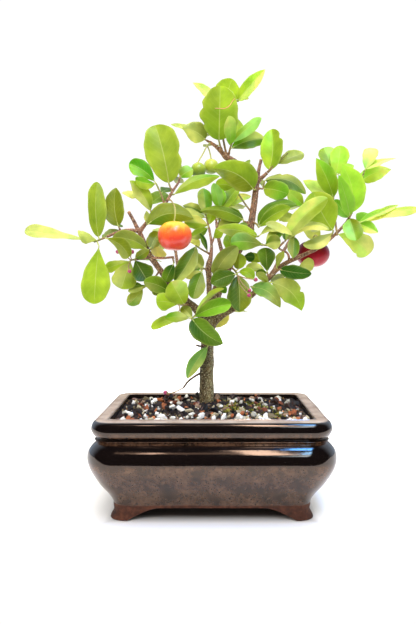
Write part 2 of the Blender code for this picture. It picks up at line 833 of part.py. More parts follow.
def combined(name, mesh, others, operation, solver="EXACT"):
    """The mesh after one Boolean with a collection of the others."""
    base = add_object(name + "_base", mesh, helpers)
    group = bpy.data.collections.new(name + "_group")
    helpers.children.link(group)
    for index, other in enumerate(others):
        add_object(f"{name}_{index}", other, group)
    boolean = base.modifiers.new("Boolean", "BOOLEAN")
    boolean.operation = operation
    boolean.operand_type = "COLLECTION"
    boolean.collection = group
    boolean.solver = solver
    result = evaluated_mesh(base)
    for obj in list(group.objects) + [base]:
        bpy.data.objects.remove(obj)
    bpy.data.collections.remove(group)
    return result


def rounded_ring(height, half_x, half_y, radius):
    """A rectangle with round corners, walked anticlockwise at one height."""
    turns = np.linspace(0, math.pi / 2, CORNER_STEPS + 1)
    ring = []
    for quarter, (side_x, side_y) in enumerate(((1, 1), (-1, 1), (-1, -1), (1, -1))):
        angles = turns + quarter * math.pi / 2
        middle = np.array([side_x * (half_x - radius), side_y * (half_y - radius)])
        corner = middle + radius * np.stack([np.cos(angles), np.sin(angles)], axis=1)
        ring.append(np.column_stack([corner, np.full(len(corner), height)]))
    return np.vstack(ring)


def lofted(name, rings):
    """A closed body through rings with the same number of points, capped at both ends."""
    count = len(rings[0])
    faces = [tuple(range(count))[::-1], tuple(range((len(rings) - 1) * count, len(rings) * count))]
    for level in range(len(rings) - 1):
        low, high = level * count, (level + 1) * count
        for i in range(count):
            j = (i + 1) % count
            faces.append((low + i, low + j, high + j, high + i))
    return mesh_from(name, np.vstack(rings), faces)


def cylinder(name, foot, top, radius, segments):
    """A cylinder from a cone primitive, between two heights over one spot."""
    mesh = bpy.data.meshes.new(name)
    work = bmesh.new()
    height = (top[2] - foot[2]) * MM
    place = Matrix.Translation(Vector((foot + top) / 2 * MM))
    wide = radius * MM
    bmesh.ops.create_cone(
        work, cap_ends=True, segments=segments, radius1=wide, radius2=wide, depth=height, matrix=place
    )
    work.to_mesh(mesh)
    work.free()
    return mesh


def arch_cutter(name, half_top, half_bottom, along_x):
    """A long bar with sloping sides that opens the foot ring between two feet."""
    below = -1.0
    reach = 120.0
    slope = (half_bottom - half_top) / FOOT_LINE
    outline = [
        (-half_bottom - slope, below),
        (half_bottom + slope, below),
        (half_top + 3.0, FOOT_LINE - 0.8),
        (half_top, FOOT_LINE),
        (-half_top, FOOT_LINE),
        (-half_top - 3.0, FOOT_LINE - 0.8),
    ]
    rings = []
    for end in (-reach, reach):
        if along_x:
            rings.append(np.array([(end, side, height) for side, height in outline]))
        else:
            rings.append(np.array([(side, end, height) for side, height in outline]))
    return lofted(name, rings)


def make_pot():
    outside = lofted("pot", [rounded_ring(*row) for row in POT_OUTSIDE])
    cutters = [
        lofted("inside", [rounded_ring(*row) for row in POT_INSIDE]),
        lofted("under_floor", [rounded_ring(-1.0, *UNDER_FLOOR), rounded_ring(FOOT_LINE, *UNDER_FLOOR)]),
        arch_cutter("arch_front", *ARCH_FRONT, along_x=False),
        arch_cutter("arch_side", *ARCH_SIDE, along_x=True),
    ]
    for side in (-1, 1):
        foot = np.array([side * DRAIN_X, 0.0, 0.0])
        cutters.append(cylinder("drain", foot, foot + (0, 0, 30.0), DRAIN_RADIUS, 16))
    return combined("pot", outside, cutters, "DIFFERENCE")


def soil_height(x, y):
    """The soil's smooth top: level at the edges, with a low mound round the trunk."""
    across = (x - TRUNK[0][0]) / 60.0
    along = (y - TRUNK_Y) / 40.0
    return SOIL_EDGE_Z + SOIL_MOUND * np.exp(-(across**2 + along**2) / 2)


def make_soil():
    """The filling: the pot's inside less a small gap, under a rough top, with a plain hole for the trunk."""
    levels = [(height, x - GAP, y - GAP, radius) for height, x, y, radius in POT_INSIDE]
    levels[0] = (POT_INSIDE[0][0] + GAP, *levels[0][1:])
    filling = lofted("filling", [rounded_ring(*row) for row in levels])
    columns, rows = SOIL_GRID
    wide, deep = OPENING[0] + SOIL_MARGIN, OPENING[1] + SOIL_MARGIN
    x, y = np.meshgrid(np.linspace(-wide, wide, columns), np.linspace(-deep, deep, rows))
    rough = np.random.default_rng(SEED).uniform(-1, 1, x.shape) * SOIL_RELIEF
    top = np.stack([x, y, soil_height(x, y) + rough], axis=-1).reshape(-1, 3)
    floor = top * (1, 1, 0)
    index = np.arange(columns * rows).reshape(rows, columns)
    faces = []
    for i in range(rows - 1):
        for j in range(columns - 1):
            a, b, c, d = index[i, j], index[i, j + 1], index[i + 1, j + 1], index[i + 1, j]
            faces += [(a, b, c), (a, c, d)]
    edge = [*index[0, :-1], *index[:-1, -1], *index[-1, :0:-1], *index[:0:-1, 0]]
    under = columns * rows
    for a, b in zip(edge, edge[1:] + edge[:1]):
        faces.append((b, a, a + under, b + under))
    faces.append(tuple(i + under for i in reversed(edge)))
    used = sorted(set(range(under)) | {i + under for i in edge})
    number = {old: new for new, old in enumerate(used)}
    points = np.vstack([top, floor])[used]
    block = mesh_from("block", points, [[number[i] for i in face] for face in faces])
    body = combined("soil_body", filling, [block], "INTERSECT")
    foot = seen(TRUNK[0]) - (0, 0, GAP)
    hole = cylinder("hole", foot, foot + (0, 0, 60.0), HOLE_RADIUS, 20)
    return combined("soil", body, [hole], "DIFFERENCE")


def nearest_on(points, values, target):
    """The closest spot to the target on a line: its distance, the spot, the values there and the heading."""
    best = None
    for (a, b), (first, second) in zip(zip(points, points[1:]), zip(values, values[1:])):
        span = b - a
        share = np.clip((target - a) @ span / (span @ span), 0, 1)
        spot = a + share * span
        distance = np.linalg.norm(spot - target)
        if best is None or distance < best[0]:
            best = (distance, spot, first + share * (second - first), unit(span))
    return best


def nearest_wood(spot):
    """How thick the nearest limb is at a spot, and where it heads if it runs on from there."""
    found = [(*nearest_on(points, radii, spot), points[-1]) for points, radii in wood_lines]
    _, near, depth, heading, end = min(found, key=lambda row: row[0])
    return depth, heading * (np.linalg.norm(end - near) > 2 * depth)


def seated(readings, radius):
    """Readings of where a shoot can bear leaves, its points from where it clears the wood, and its spur."""
    start, second = seen(readings[0]), seen(readings[1])
    heading = unit(second - start)
    depth, limb = nearest_wood(start)
    slant = np.linalg.norm(np.cross(heading, limb)) if limb.any() else 1.0
    reach = max(depth + SPUR, (depth + radius + GAP) / max(slant, STEEPEST))
    spur = np.array([start - heading * SUNK * depth, start + heading * reach])
    readings = np.array(readings, float)
    step = (readings[1] - readings[0]) / np.linalg.norm(second - start)
    readings[0] += step * (reach + GAP)
    points = placed(readings)
    readings[0] += step * BARE_START
    readings[-1] += BARE_END * (readings[-2] - readings[-1]) / np.linalg.norm(points[-2] - points[-1])
    return readings, points, tube("spur", spur, (radius, radius), 0)


def leaf_nature(number, outline="oval"):
    """What makes each leaf its own: how it widens, how bluntly it closes and where its edges wave."""
    chance = random.Random(SEED * 1000 + number)
    widens, closes = OUTLINES[outline]
    closes *= chance.uniform(*BLUNTNESS)
    return {"widens": widens, "closes": closes, "left": chance.uniform(0, 1), "right": chance.uniform(0, 1)}


def leaf_from_reading(row, readings, number):
    """A leaf that is seen from the front, on the shoot with these readings."""
    x0, z0, x1, z1, width, bow, roll, depth, fold = row[:9]
    flat = readings[:, :2]
    _, _, spot, _ = nearest_on(flat, readings, np.array([x0, z0], float))
    base = seen((x0, z0, spot[2]))
    tip = seen((x1, z1, spot[2] + depth))
    foot = seen(spot)
    facing = -unit((base + tip) / 2 - EYE)
    leaf = {"foot": foot, "base": base, "tip": tip, "facing": facing, "nature": leaf_nature(number, *row[9:])}
    leaf |= {"width": width, "bow": bow, "roll": roll, "fold": fold}
    if straightness(leaf) * np.linalg.norm(base - foot) < SHORTEST_NECK or straightness(leaf) < STRAIGHT:
        leaf["base"] = foot + SHORTEST_NECK * unit(tip - foot)
    return leaf


def extra_leaf(points, share, number):
    """A leaf on the far side of a shoot, which points away from the front."""
    chance = random.Random(SEED * 5000 + number)
    where = share * (len(points) - 1)
    step = min(int(where), len(points) - 2)
    foot = points[step] + (where - step) * (points[step + 1] - points[step])
    heading = unit(
        np.array([chance.uniform(-EXTRA_SPREAD, EXTRA_SPREAD), EXTRA_DEPTH, chance.uniform(*EXTRA_RISE)])
    )
    length = chance.uniform(*EXTRA_LENGTH)
    base = foot + heading * EXTRA_NECK
    leaf = {"foot": foot, "base": base, "tip": base + heading * length, "facing": np.array(EXTRA_FACING)}
    leaf |= {"width": length * EXTRA_SLIMNESS, "bow": 0.0, "fold": EXTRA_FOLD}
    return leaf | {"roll": chance.uniform(-EXTRA_ROLL, EXTRA_ROLL), "nature": leaf_nature(number)}


def leaf_length(leaf):
    return np.linalg.norm(leaf["tip"] - leaf["base"])


def leaf_lines(leaf, along):
    """The midrib's points at these shares of its length, and the directions across the blade and out of it."""
    base, tip = leaf["base"], leaf["tip"]
    length = leaf_length(leaf)
    axis = (tip - base) / length
    face = unit(leaf["facing"] - (leaf["facing"] @ axis) * axis)
    side = np.cross(axis, -face)
    lift = side if side[2] + 0.35 * side[0] > 0 else -side
    roll = math.radians(leaf["roll"])
    face = math.cos(roll) * face + math.sin(roll) * lift
    bulge = 2 * ARCH * length * math.copysign(1.0, leaf["fold"])
    control = (base + tip) / 2 + 2 * leaf["bow"] * lift + bulge * face
    u = np.asarray(along, float)[:, None]
    middle = (1 - u) ** 2 * base + 2 * u * (1 - u) * control + u**2 * tip
    heading = 2 * (1 - u) * (control - base) + 2 * u * (tip - control)
    heading /= np.linalg.norm(heading, axis=1)[:, None]
    out = face - (heading @ face)[:, None] * heading
    out /= np.linalg.norm(out, axis=1)[:, None]
    return middle, np.cross(heading, out), out


def straightness(leaf):
    """How nearly the neck of the leaf runs on into its midrib: 1 where it does, 0 at a right angle."""
    _, side, out = leaf_lines(leaf, [0.0])
    return unit(leaf["base"] - leaf["foot"]) @ np.cross(out[0], side[0])


def leaf_outline(leaf, along):
    """Half of the blade's width at these shares of its length, by its outline."""
    widens, closes = leaf["nature"]["widens"], leaf["nature"]["closes"]
    peak = widens / (widens + closes)
    u = np.asarray(along, float)
    shape = u**widens * (1 - u) ** closes / (peak**widens * (1 - peak) ** closes)
    return np.maximum(leaf["width"] / 2 * shape, PETIOLE_HALF)


def leaf_surface(leaf, along, across, grow=0.0):
    """Points of the blade's middle surface on a grid: along from 0 to 1, across from -1 to 1."""
    middle, side, out = leaf_lines(leaf, along)
    half = leaf_outline(leaf, along) + grow
    fold = math.radians(leaf["fold"]) if len(across) > 2 else 0.0
    u = np.asarray(along, float)[:, None]
    v = np.asarray(across, float)[None, :]
    nature = leaf["nature"]
    phase = np.where(v < 0, nature["left"], nature["right"])
    wave = WAVE * leaf_length(leaf) * np.sin(2 * math.pi * (1.3 * u + phase)) * v**2 * np.sin(math.pi * u)
    sideways = v * half[:, None] * math.cos(fold)
    raised = np.abs(v) * half[:, None] * math.sin(fold) + wave
    return middle[:, None] + sideways[..., None] * side[:, None] + raised[..., None] * out[:, None], out


def blade_steps(leaf):
    """Where the blade's sections lie along it and across it: a short leaf has no fold at its midrib."""
    length = leaf_length(leaf)
    size = "small" if length < SMALL_LEAF else "large" if length > LARGE_LEAF else "middling"
    return BLADE_STEPS[size], (-1, 0, 1) if length > FOLDED_LEAF else (-1, 1)


def plain_leaf(leaf, half=BLADE_HALF, grow=0.0, blade_only=False):
    """A thin closed blade on its petiole, as points and triangles that are alike on both faces."""
    steps, lanes = blade_steps(leaf)
    lines, out = leaf_surface(leaf, steps[1:] if blade_only else steps, lanes, grow)
    thick = out[:, None] * half
    sections = np.concatenate([lines + thick, (lines - thick)[:, ::-1]], axis=1)
    if not blade_only:
        across, up = unit(lines[0, -1] - lines[0, 0]), out[0]
        ends = [(lane, 1) for lane in lanes] + [(lane, -1) for lane in lanes[::-1]]
        foot = [leaf["foot"] + (FOOT_HALF + grow) * (k * across + s * up) for k, s in ends]
        sections = np.concatenate([[foot], sections])
    ring = 2 * len(lanes)
    rising = (0, 2, 3) if ring == 6 else (0, 1)
    faces = []
    for low in range(0, (len(sections) - 1) * ring, ring):
        for k in range(ring):
            a, b = low + k, low + (k + 1) % ring
            c, d = b + ring, a + ring
            faces += [(a, b, c), (a, c, d)] if k in rising else [(a, b, d), (b, c, d)]
    last = (len(sections) - 1) * ring
    for first, turn in ((0, 1), (last, -1)):
        for k in range(len(lanes) - 1):
            a, b, c, d = (first + i for i in (k, ring - 1 - k, ring - 2 - k, k + 1))
            faces += [(a, b, c)[::turn], (a, c, d)[::turn]]
    return sections.reshape(-1, 3), faces


def bounds_of(points):
    return points.min(axis=0), points.max(axis=0)


def obstacle(owner, points, faces):
    tree = BVHTree.FromPolygons(points.tolist(), [tuple(int(i) for i in face) for face in faces])
    return (owner, tree, *bounds_of(points))


def mesh_obstacle(owner, mesh):
    points = np.array([vertex.co for vertex in mesh.vertices]) / MM
    return obstacle(owner, points, [tuple(face.vertices) for face in mesh.polygons])


def touches(points, faces, others):
    low, high = bounds_of(points)
    near = [other for other in others if (other[2] < high).all() and (other[3] > low).all()]
    if not near:
        return False
    tree = BVHTree.FromPolygons(points.tolist(), faces)
    return any(tree.overlap(other[1]) for other in near)


def nudged(leaf, base, tip, roll):
    """The leaf rolled, with its base and its tip moved along their lines of sight."""
    base = leaf["base"] + unit(leaf["base"] - EYE) * base
    tip = leaf["tip"] + unit(leaf["tip"] - EYE) * tip
    return leaf | {"base": base, "tip": tip, "roll": leaf["roll"] + roll}


def settled(leaf, owner, obstacles):
    """The leaf after the smallest nudge that leaves it clear of all the others, or None."""
    strangers = [other for other in obstacles if other[0] != owner]
    family = [other for other in obstacles if other[0] == owner and other[4:]]
    for nudge in NUDGES:
        trial = nudged(leaf, *nudge)
        if straightness(trial) < STRAIGHT:
            continue
        if touches(*plain_leaf(trial, BLADE_HALF + TEST_CLEARANCE, TEST_CLEARANCE), strangers):
            continue
        if touches(*plain_leaf(trial, BLADE_HALF + TEST_CLEARANCE, TEST_CLEARANCE, True), family):
            continue
        return trial
    return None


def settle_all(leaves, obstacles):
    """Places the leaves, the largest first, each clear of what stands already."""
    sizes = [leaf_length(leaf) * leaf["width"] for _, leaf, _ in leaves]
    order = sorted(range(len(leaves)), key=lambda i: (leaves[i][2], -sizes[i]))
    kept = {}
    for i in order:
        owner, leaf, _ = leaves[i]
        placed_leaf = settled(leaf, owner, obstacles)
        if placed_leaf is None:
            print(f"no room for leaf {i} of {owner}, from {leaf['base'].round()} to {leaf['tip'].round()}")
            continue
        kept[i] = placed_leaf
        obstacles.append((*obstacle(owner, *plain_leaf(placed_leaf)), "leaf"))
    return {i: kept[i] for i in sorted(kept)}


def make_cherry(name):
    """A cherry: a sphere with shallow lobes and a dimple under its stalk."""
    middle, width, height, _ = CHERRIES[name]
    mesh = bpy.data.meshes.new(name)
    work = bmesh.new()
    around, down = (15, 9) if width > 20 else (12, 7)
    bmesh.ops.create_uvsphere(work, u_segments=around, v_segments=down, radius=1.0)
    place = seen(middle)
    for vertex in work.verts:
        x, y, z = vertex.co
        turn = math.atan2(y, x)
        ring = math.hypot(x, y)
        lobe = 1 + LOBE_DEPTH * ring * math.cos(LOBES * turn)
        dent = DIMPLE * math.exp(-((ring / DIMPLE_RADIUS) ** 2)) * (1.0 if z > 0 else LOWER_DIMPLE)
        z -= math.copysign(dent, z)
        reach = np.array([x * lobe * width, y * lobe * width, z * height]) / 2
        vertex.co = Vector(place + reach) * MM
    work.to_mesh(mesh)
    work.free()
    return mesh


def make_stalk(name, points, over):
    """A stalk along the points, down to a spot this far over the floor of the cherry's dimple."""
    middle, _, height, _ = CHERRIES[name]
    end = seen(middle) + (0, 0, height / 2 * (1 - DIMPLE) + over)
    points = np.vstack([points, end + (0, 0, UPRIGHT_END), end])
    return tube("stalk_" + name, points, [STALK_RADIUS] * len(points), 0)


def make_cherries():
    """The ripe cherries and their stalks, the green pair on its forked stalk, and the spurs they hang from."""
    nodes, spurs = {}, []
    for name in ("orange", "crimson"):
        _, points, spur = seated(CHERRIES[name][3], STALK_RADIUS)
        nodes["fruit_" + name] = make_cherry(name)
        nodes["stalk_" + name] = make_stalk(name, points, GAP + 0.1)
        spurs.append(spur)
    _, points, spur = seated(CHERRIES["green_left"][3], STALK_RADIUS)
    left = make_stalk("green_left", points, -STALK_SUNK)
    right = make_stalk("green_right", placed(CHERRIES["green_right"][3]), -STALK_SUNK)
    pieces = [right, make_cherry("green_left"), make_cherry("green_right")]
    nodes["fruit_green"] = combined("fruit_green", left, pieces, "UNION")
    return nodes, spurs + [spur]


def make_bud(readings, radius):
    """A pedicel with a round bud at its end, as two pieces to be joined."""
    points = placed(readings)
    pedicel = tube("pedicel", points, [PEDICEL_RADIUS] * len(points), 0)
    mesh = bpy.data.meshes.new("bud")
    work = bmesh.new()
    place = Matrix.Translation(points[-1] * MM)
    bmesh.ops.create_icosphere(work, subdivisions=1, radius=radius * MM, matrix=place)
    work.to_mesh(mesh)
    work.free()
    return [pedicel, mesh]


def build():
    """Everything, from the pot up."""
    spurs, shoots = [], {}
    for name, (readings, radius, _, _) in SPRAYS.items():
        readings, points, spur = seated(readings, radius)
        spurs.append(spur)
        radii = np.linspace(radius, radius * SHOOT_TAPER, len(points))
        shoots[name] = (readings, points, tube(name, points, radii, 0))
    cherries, cherry_spurs = make_cherries()
    nodes = {"pot": make_pot(), "soil": make_soil(), **cherries}
    spurs += cherry_spurs
    trunk_points, trunk_radii = wood_lines[0]
    limbs = [
        tube(name, points, radii, 0 if radii.max() < THIN_TWIG else 1)
        for name, (points, radii) in zip(LIMBS, wood_lines[1:])
    ]
    limbs += spurs + make_bud(LOW_BUD, LOW_BUD_RADIUS)
    nodes["wood"] = combined("wood", tube("trunk", trunk_points, trunk_radii, 3), limbs, "UNION")

    obstacles = [mesh_obstacle(name, mesh) for name, mesh in nodes.items()]
    obstacles += [mesh_obstacle(name, mesh) for name, (_, _, mesh) in shoots.items()]
    buds = {}
    for name, rows in BUDS.items():
        buds[name] = [piece for bud in rows for piece in make_bud(bud, BUD_RADIUS)]
    for name, pieces in buds.items():
        obstacles += [(*mesh_obstacle(name, piece), "bud") for piece in pieces]
    leaves = []
    for name, (_, _, rows, extras) in SPRAYS.items():
        readings, points, _ = shoots[name]
        for row in rows:
            leaves.append((name, leaf_from_reading(row, readings, len(leaves)), 0))
        for k in range(extras):
            leaves.append((name, extra_leaf(points, (k + 0.7) / (extras + 0.2), len(leaves)), 1))
    kept = settle_all(leaves, obstacles)
    print(f"{len(kept)} of {len(leaves)} leaves stand clear")
    for name in SPRAYS:
        pieces = [mesh_from(name, *plain_leaf(leaf)) for i, leaf in kept.items() if leaves[i][0] == name]
        pieces += buds.get(name, [])
        nodes[name] = combined(name, shoots[name][2], pieces, "UNION", "MANIFOLD")
    return nodes


for old in list(bpy.data.objects):
    bpy.data.objects.remove(old)
bonsai = bpy.data.collections.new(NAME)
helpers = bpy.data.collections.new("helpers")
for each in (bonsai, helpers):
    bpy.context.scene.collection.children.link(each)
wood_lines = [(placed(rows), np.array([row[3] for row in rows], float)) for rows in [TRUNK, *LIMBS.values()]]

stand = bpy.data.objects.new("stand", None)
bonsai.objects.link(stand)
materials = {name: make_material(name, *finish) for name, finish in FINISHES.items()}
corners = []
for node_name, node_mesh in build().items():
    finish = next((key for key in FINISHES if node_name.startswith(key)), "leaf")
    node = add_object(node_name, node_mesh, bonsai, materials[finish])
    node_mesh.shade_smooth()
    node_mesh.set_sharp_from_angle(angle=math.radians(SHARP_ANGLE))
    node.parent = stand
    corners += [vertex.co for vertex in node_mesh.vertices]
low_corner, high_corner = bounds_of(np.array(corners))
box_middle = (low_corner + high_corner) / 2
stand.location = (-box_middle[0], -box_middle[1], 0)
print("size in mm", (high_corner - low_corner) / MM)
print("the pot's middle stands at", -box_middle[:2] / MM, "mm")
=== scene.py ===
# %% [markdown]
# # A Barbados cherry bonsai in its pot
#
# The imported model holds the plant's plain solids: a pot, its soil, the wood, the cherries and forty-nine
# leafy sprays. This notebook dresses them. Each step says what the real piece is, how it could be made, and
# why it is made this way. The shapes are surfaces worked out with numpy: a function of two parameters on a
# grid, or a profile carried along a path. All lengths in the notebook are in millimetres in the plant's
# layout, whose middle is the pot's middle.

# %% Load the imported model
import math
import random

import bmesh
import bpy
import mathutils
import numpy as np
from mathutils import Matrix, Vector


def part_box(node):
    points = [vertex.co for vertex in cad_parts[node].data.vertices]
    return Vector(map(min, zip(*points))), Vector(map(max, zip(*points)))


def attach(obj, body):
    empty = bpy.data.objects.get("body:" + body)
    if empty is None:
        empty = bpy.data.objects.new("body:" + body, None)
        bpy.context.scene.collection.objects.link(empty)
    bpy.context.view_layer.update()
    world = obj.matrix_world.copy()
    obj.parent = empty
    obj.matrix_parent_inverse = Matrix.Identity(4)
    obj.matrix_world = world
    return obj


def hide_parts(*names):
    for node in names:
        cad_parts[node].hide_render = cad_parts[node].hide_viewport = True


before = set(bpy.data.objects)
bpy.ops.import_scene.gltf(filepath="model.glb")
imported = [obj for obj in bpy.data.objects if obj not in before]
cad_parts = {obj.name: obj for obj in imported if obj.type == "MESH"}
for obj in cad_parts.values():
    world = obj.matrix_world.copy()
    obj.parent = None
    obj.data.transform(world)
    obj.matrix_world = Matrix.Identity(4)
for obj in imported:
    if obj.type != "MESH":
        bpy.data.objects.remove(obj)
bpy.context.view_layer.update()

MM = 0.001
pot_corners = np.array([list(corner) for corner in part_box("pot")])
MIDDLE = pot_corners.mean(axis=0) * (1, 1, 0) / MM
print("nodes:", len(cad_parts), " the pot's middle is at", MIDDLE.round(3), "mm")

# %% [markdown]
# ## The viewpoint
#
# The picture was taken from just over half a metre in front of the pot, a little above its middle height.
# Upright edges stay upright in it, so the camera looks straight ahead, and a small shift of the frame,
# instead of a tilt, puts the horizon a little above the picture's middle.

# %% Camera
EYE = np.array([3.4, -523.0, 184.6])
TRUNK_Y = 24.0
REACH = TRUNK_Y - EYE[1]
FOCUS = 570.0
FRAME_HEIGHT = 624.0
AXIS_RIGHT = 8.0
AXIS_ABOVE = 17.5

lens = bpy.data.cameras.new("camera")
lens.sensor_width = 36.0
lens.lens = lens.sensor_width * FOCUS / FRAME_HEIGHT
lens.shift_x = -AXIS_RIGHT / FRAME_HEIGHT
lens.shift_y = -AXIS_ABOVE / FRAME_HEIGHT
lens.clip_start = 0.01
camera = bpy.data.objects.new("camera", lens)
camera.location = (EYE + MIDDLE) * MM
camera.rotation_euler = (math.radians(90), 0, 0)
bpy.context.scene.collection.objects.link(camera)
bpy.context.scene.camera = camera
print("lens", round(lens.lens, 2), "mm")


def seen(reading):
    """A reading (across, up, depth) as a point on its line of sight.

    EYE + (point on the trunk's plane - EYE) * (REACH + depth) / REACH
    """
    across, up, depth = reading[:3]
    on_plane = np.array([across, TRUNK_Y, up])
    return EYE + (on_plane - EYE) * (REACH + depth) / REACH


def placed(readings):
    """All the readings of a path as points, one a row."""
    return np.array([seen(reading) for reading in readings])


# %% [markdown]
# ## Colours and shader nodes
#
# Colours are on the usual scale of 0 to 255. They were chosen by comparing renders with the photograph and by
# median colours. Shaders take linear values, so a small function turns one into the other. A second one adds
# a shader node and links or sets its inputs in one line, which keeps the recipes below short enough to read.

# %% Colour and node helpers
def linear(colour):
    """Screen colours, 0 to 255, as linear ones: c / 12.92 in the darks, else ((c + 0.055) / 1.055) ** 2.4."""
    share = np.asarray(colour, float) / 255
    return np.where(share <= 0.04045, share / 12.92, ((share + 0.055) / 1.055) ** 2.4)


def rgba(red, green, blue):
    """A screen colour as the four linear values that a shader's input takes."""
    return (*linear((red, green, blue)), 1.0)


def blend(first, second, share):
    """first + (second - first) * share, on numbers or arrays."""
    return first + (second - first) * share


def node(tree, kind, inputs=(), **settings):
    """Adds a shader node, applies its settings, and links an input to a socket or gives it a value."""
    made = tree.nodes.new("ShaderNode" + kind)
    for key, value in settings.items():
        setattr(made, key, value)
    for key, value in dict(inputs).items():
        if isinstance(value, bpy.types.NodeSocket):
            tree.links.new(value, made.inputs[key])
        else:
            made.inputs[key].default_value = value
    return made


def calc(tree, operation, *values, clamp=False):
    """One sum on numbers or sockets."""
    return node(tree, "Math", dict(enumerate(values)), operation=operation, use_clamp=clamp).outputs[0]


def times(tree, first, second):
    """The product of two numbers or sockets."""
    return calc(tree, "MULTIPLY", first, second)


def mixed(tree, share, first, second, kind="MIX"):
    """A blend of two colours; share 0 gives the first."""
    return node(tree, "Mix", {0: share, 6: first, 7: second}, data_type="RGBA", blend_type=kind).outputs[2]


def ramp(tree, value, stops):
    """A value turned into a colour through (place, colour) stops."""
    made = node(tree, "ValToRGB", {"Fac": value})
    band = made.color_ramp
    while len(band.elements) < len(stops):
        band.elements.new(0.5)
    for element, (place, colour) in zip(band.elements, stops):
        element.position = place
        element.color = colour
    return made.outputs["Color"]


def between(tree, value, low, high):
    """0 below low, 1 above high, and an even rise between them; a low over high makes it a fall."""
    return node(tree, "MapRange", {"Value": value, "From Min": low, "From Max": high}).outputs[0]


def between_mm(tree, value, low, high):
    """The same for a value in metres, with low and high in millimetres."""
    return between(tree, value, low * MM, high * MM)


def axes(tree, kind="Object"):
    """A point's three coordinates in metres; for the world, kind is Generated and they are a direction."""
    return node(tree, "SeparateXYZ", {0: node(tree, "TexCoord").outputs[kind]}).outputs


def painted(tree):
    """The colour that the piece's points carry."""
    return node(tree, "Attribute", attribute_name="tone", attribute_type="GEOMETRY").outputs["Color"]


def speckle(tree, scale, detail=4.0, stretch=(1, 1, 1), roughness=0.55):
    """Cloudy noise on the piece's coordinates: scale is lumps a metre, stretch squeezes it on each axis."""
    place = node(tree, "TexCoord").outputs["Object"]
    turned = node(tree, "Mapping", {"Vector": place, "Scale": stretch}).outputs[0]
    values = {"Vector": turned, "Scale": scale, "Detail": detail, "Roughness": roughness}
    return node(tree, "TexNoise", values).outputs["Fac"]


def bumped(tree, height, strength, distance):
    """A normal from a height: distance is in metres."""
    return node(tree, "Bump", {"Height": height, "Strength": strength, "Distance": distance}).outputs[0]


def new_finish(name):
    """An empty material, and its tree."""
    material = bpy.data.materials.new(name)
    material.use_nodes = True
    material.node_tree.nodes.clear()
    return material, material.node_tree


def finish_with(tree, shader):
    """Links the shader to the material's output."""
    node(tree, "OutputMaterial", {"Surface": shader})


def gloss(tree, **inputs):
    """The all-purpose surface shader, with its inputs named by words joined with _."""
    named = {key.replace("_", " "): value for key, value in inputs.items()}
    return node(tree, "BsdfPrincipled", named).outputs[0]


def toned_finish(name, scale, detail, dark, light, rough, strength, distance, roughness=0.55):
    """The points' own colours, darkened and lightened by a noise, which is also the surface's relief.

    dark and light are each a place on the noise and the factors on red, green and blue there.
    """
    material, tree = new_finish(name)
    own = painted(tree)
    noise = speckle(tree, scale, detail, roughness=roughness)
    shade = ramp(tree, noise, [(place, (*factors, 1)) for place, factors in (dark, light)])
    colour = mixed(tree, 1.0, own, shade, "MULTIPLY")
    relief = bumped(tree, noise, strength, distance)
    finish_with(tree, gloss(tree, Base_Color=colour, Roughness=rough, Normal=relief))
    return material


# %% [markdown]
# ## Surfaces from arrays
#
# Every piece is a grid of points. A grid that closes round gives a tube, and a fan of triangles closes each
# of its ends. The paths are the source's own readings, smoothed with a curve that still passes through each
# of them.

# %% Grid, tube and piece helpers
def grid_faces(rows, columns, around=False):
    """Four corners a face: (i, j), (i, j+1), (i+1, j+1), (i+1, j); around joins last and first columns."""
    index = np.arange(rows * columns).reshape(rows, columns)
    if around:
        index = np.column_stack([index, index[:, :1]])
    corners = [index[:-1, :-1], index[:-1, 1:], index[1:, 1:], index[1:, :-1]]
    return np.stack(corners, axis=-1).reshape(-1, 4)


def closed_tube(rings):
    """Rings (rows, columns, 3) as a closed surface: the grid, and a fan from the middle of each end ring."""
    rows, columns = rings.shape[:2]
    points = np.vstack([rings.reshape(-1, 3), rings[0].mean(axis=0), rings[-1].mean(axis=0)])
    here = np.arange(columns)
    after = (here + 1) % columns
    last = (rows - 1) * columns
    start = np.column_stack([after, here, np.full(columns, rows * columns)])
    end = np.column_stack([last + here, last + after, np.full(columns, rows * columns + 1)])
    return points, grid_faces(rows, columns, around=True).tolist() + start.tolist() + end.tolist()


def smooth_path(points, step):
    """A Catmull-Rom curve through an array's rows, resampled about every step along three columns."""
    points = np.asarray(points, float)
    held = np.vstack([2 * points[0] - points[1], points, 2 * points[-1] - points[-2]])
    pieces = []
    for a, b, c, d in zip(held, held[1:], held[2:], held[3:]):
        count = max(2, int(np.linalg.norm((c - b)[:3]) / step))
        t = (np.arange(count) / count)[:, None]
        curve = 2 * b + (c - a) * t + (2 * a - 5 * b + 4 * c - d) * t**2 + (3 * b - a - 3 * c + d) * t**3
        pieces.append(curve / 2)
    return np.vstack([*pieces, points[-1:]])


def carried_frames(path):
    """Two directions square to a path at each of its points, carried along it without twist."""
    heading = np.gradient(path, axis=0)
    heading /= np.linalg.norm(heading, axis=1)[:, None]
    first = np.cross(heading[0], (0.31, 0.93, 0.2))
    across = [first / np.linalg.norm(first)]
    for direction in heading[1:]:
        turned = across[-1] - (across[-1] @ direction) * direction
        across.append(turned / np.linalg.norm(turned))
    across = np.array(across)
    return across, np.cross(heading, across)


def rod(path, radii, columns, relief=None):
    """Rings round a path: point + radius * (cos a * across + sin a * up); relief pushes the skin out."""
    across, up = carried_frames(path)
    angle = np.linspace(0, 2 * math.pi, columns, endpoint=False)
    spoke = np.cos(angle)[None, :, None] * across[:, None] + np.sin(angle)[None, :, None] * up[:, None]
    reach = np.broadcast_to(np.asarray(radii, float)[:, None], spoke.shape[:2])
    if relief is not None:
        reach = reach + relief(path[:, None] + spoke * reach[..., None], reach)
    return path[:, None] + spoke * reach[..., None]


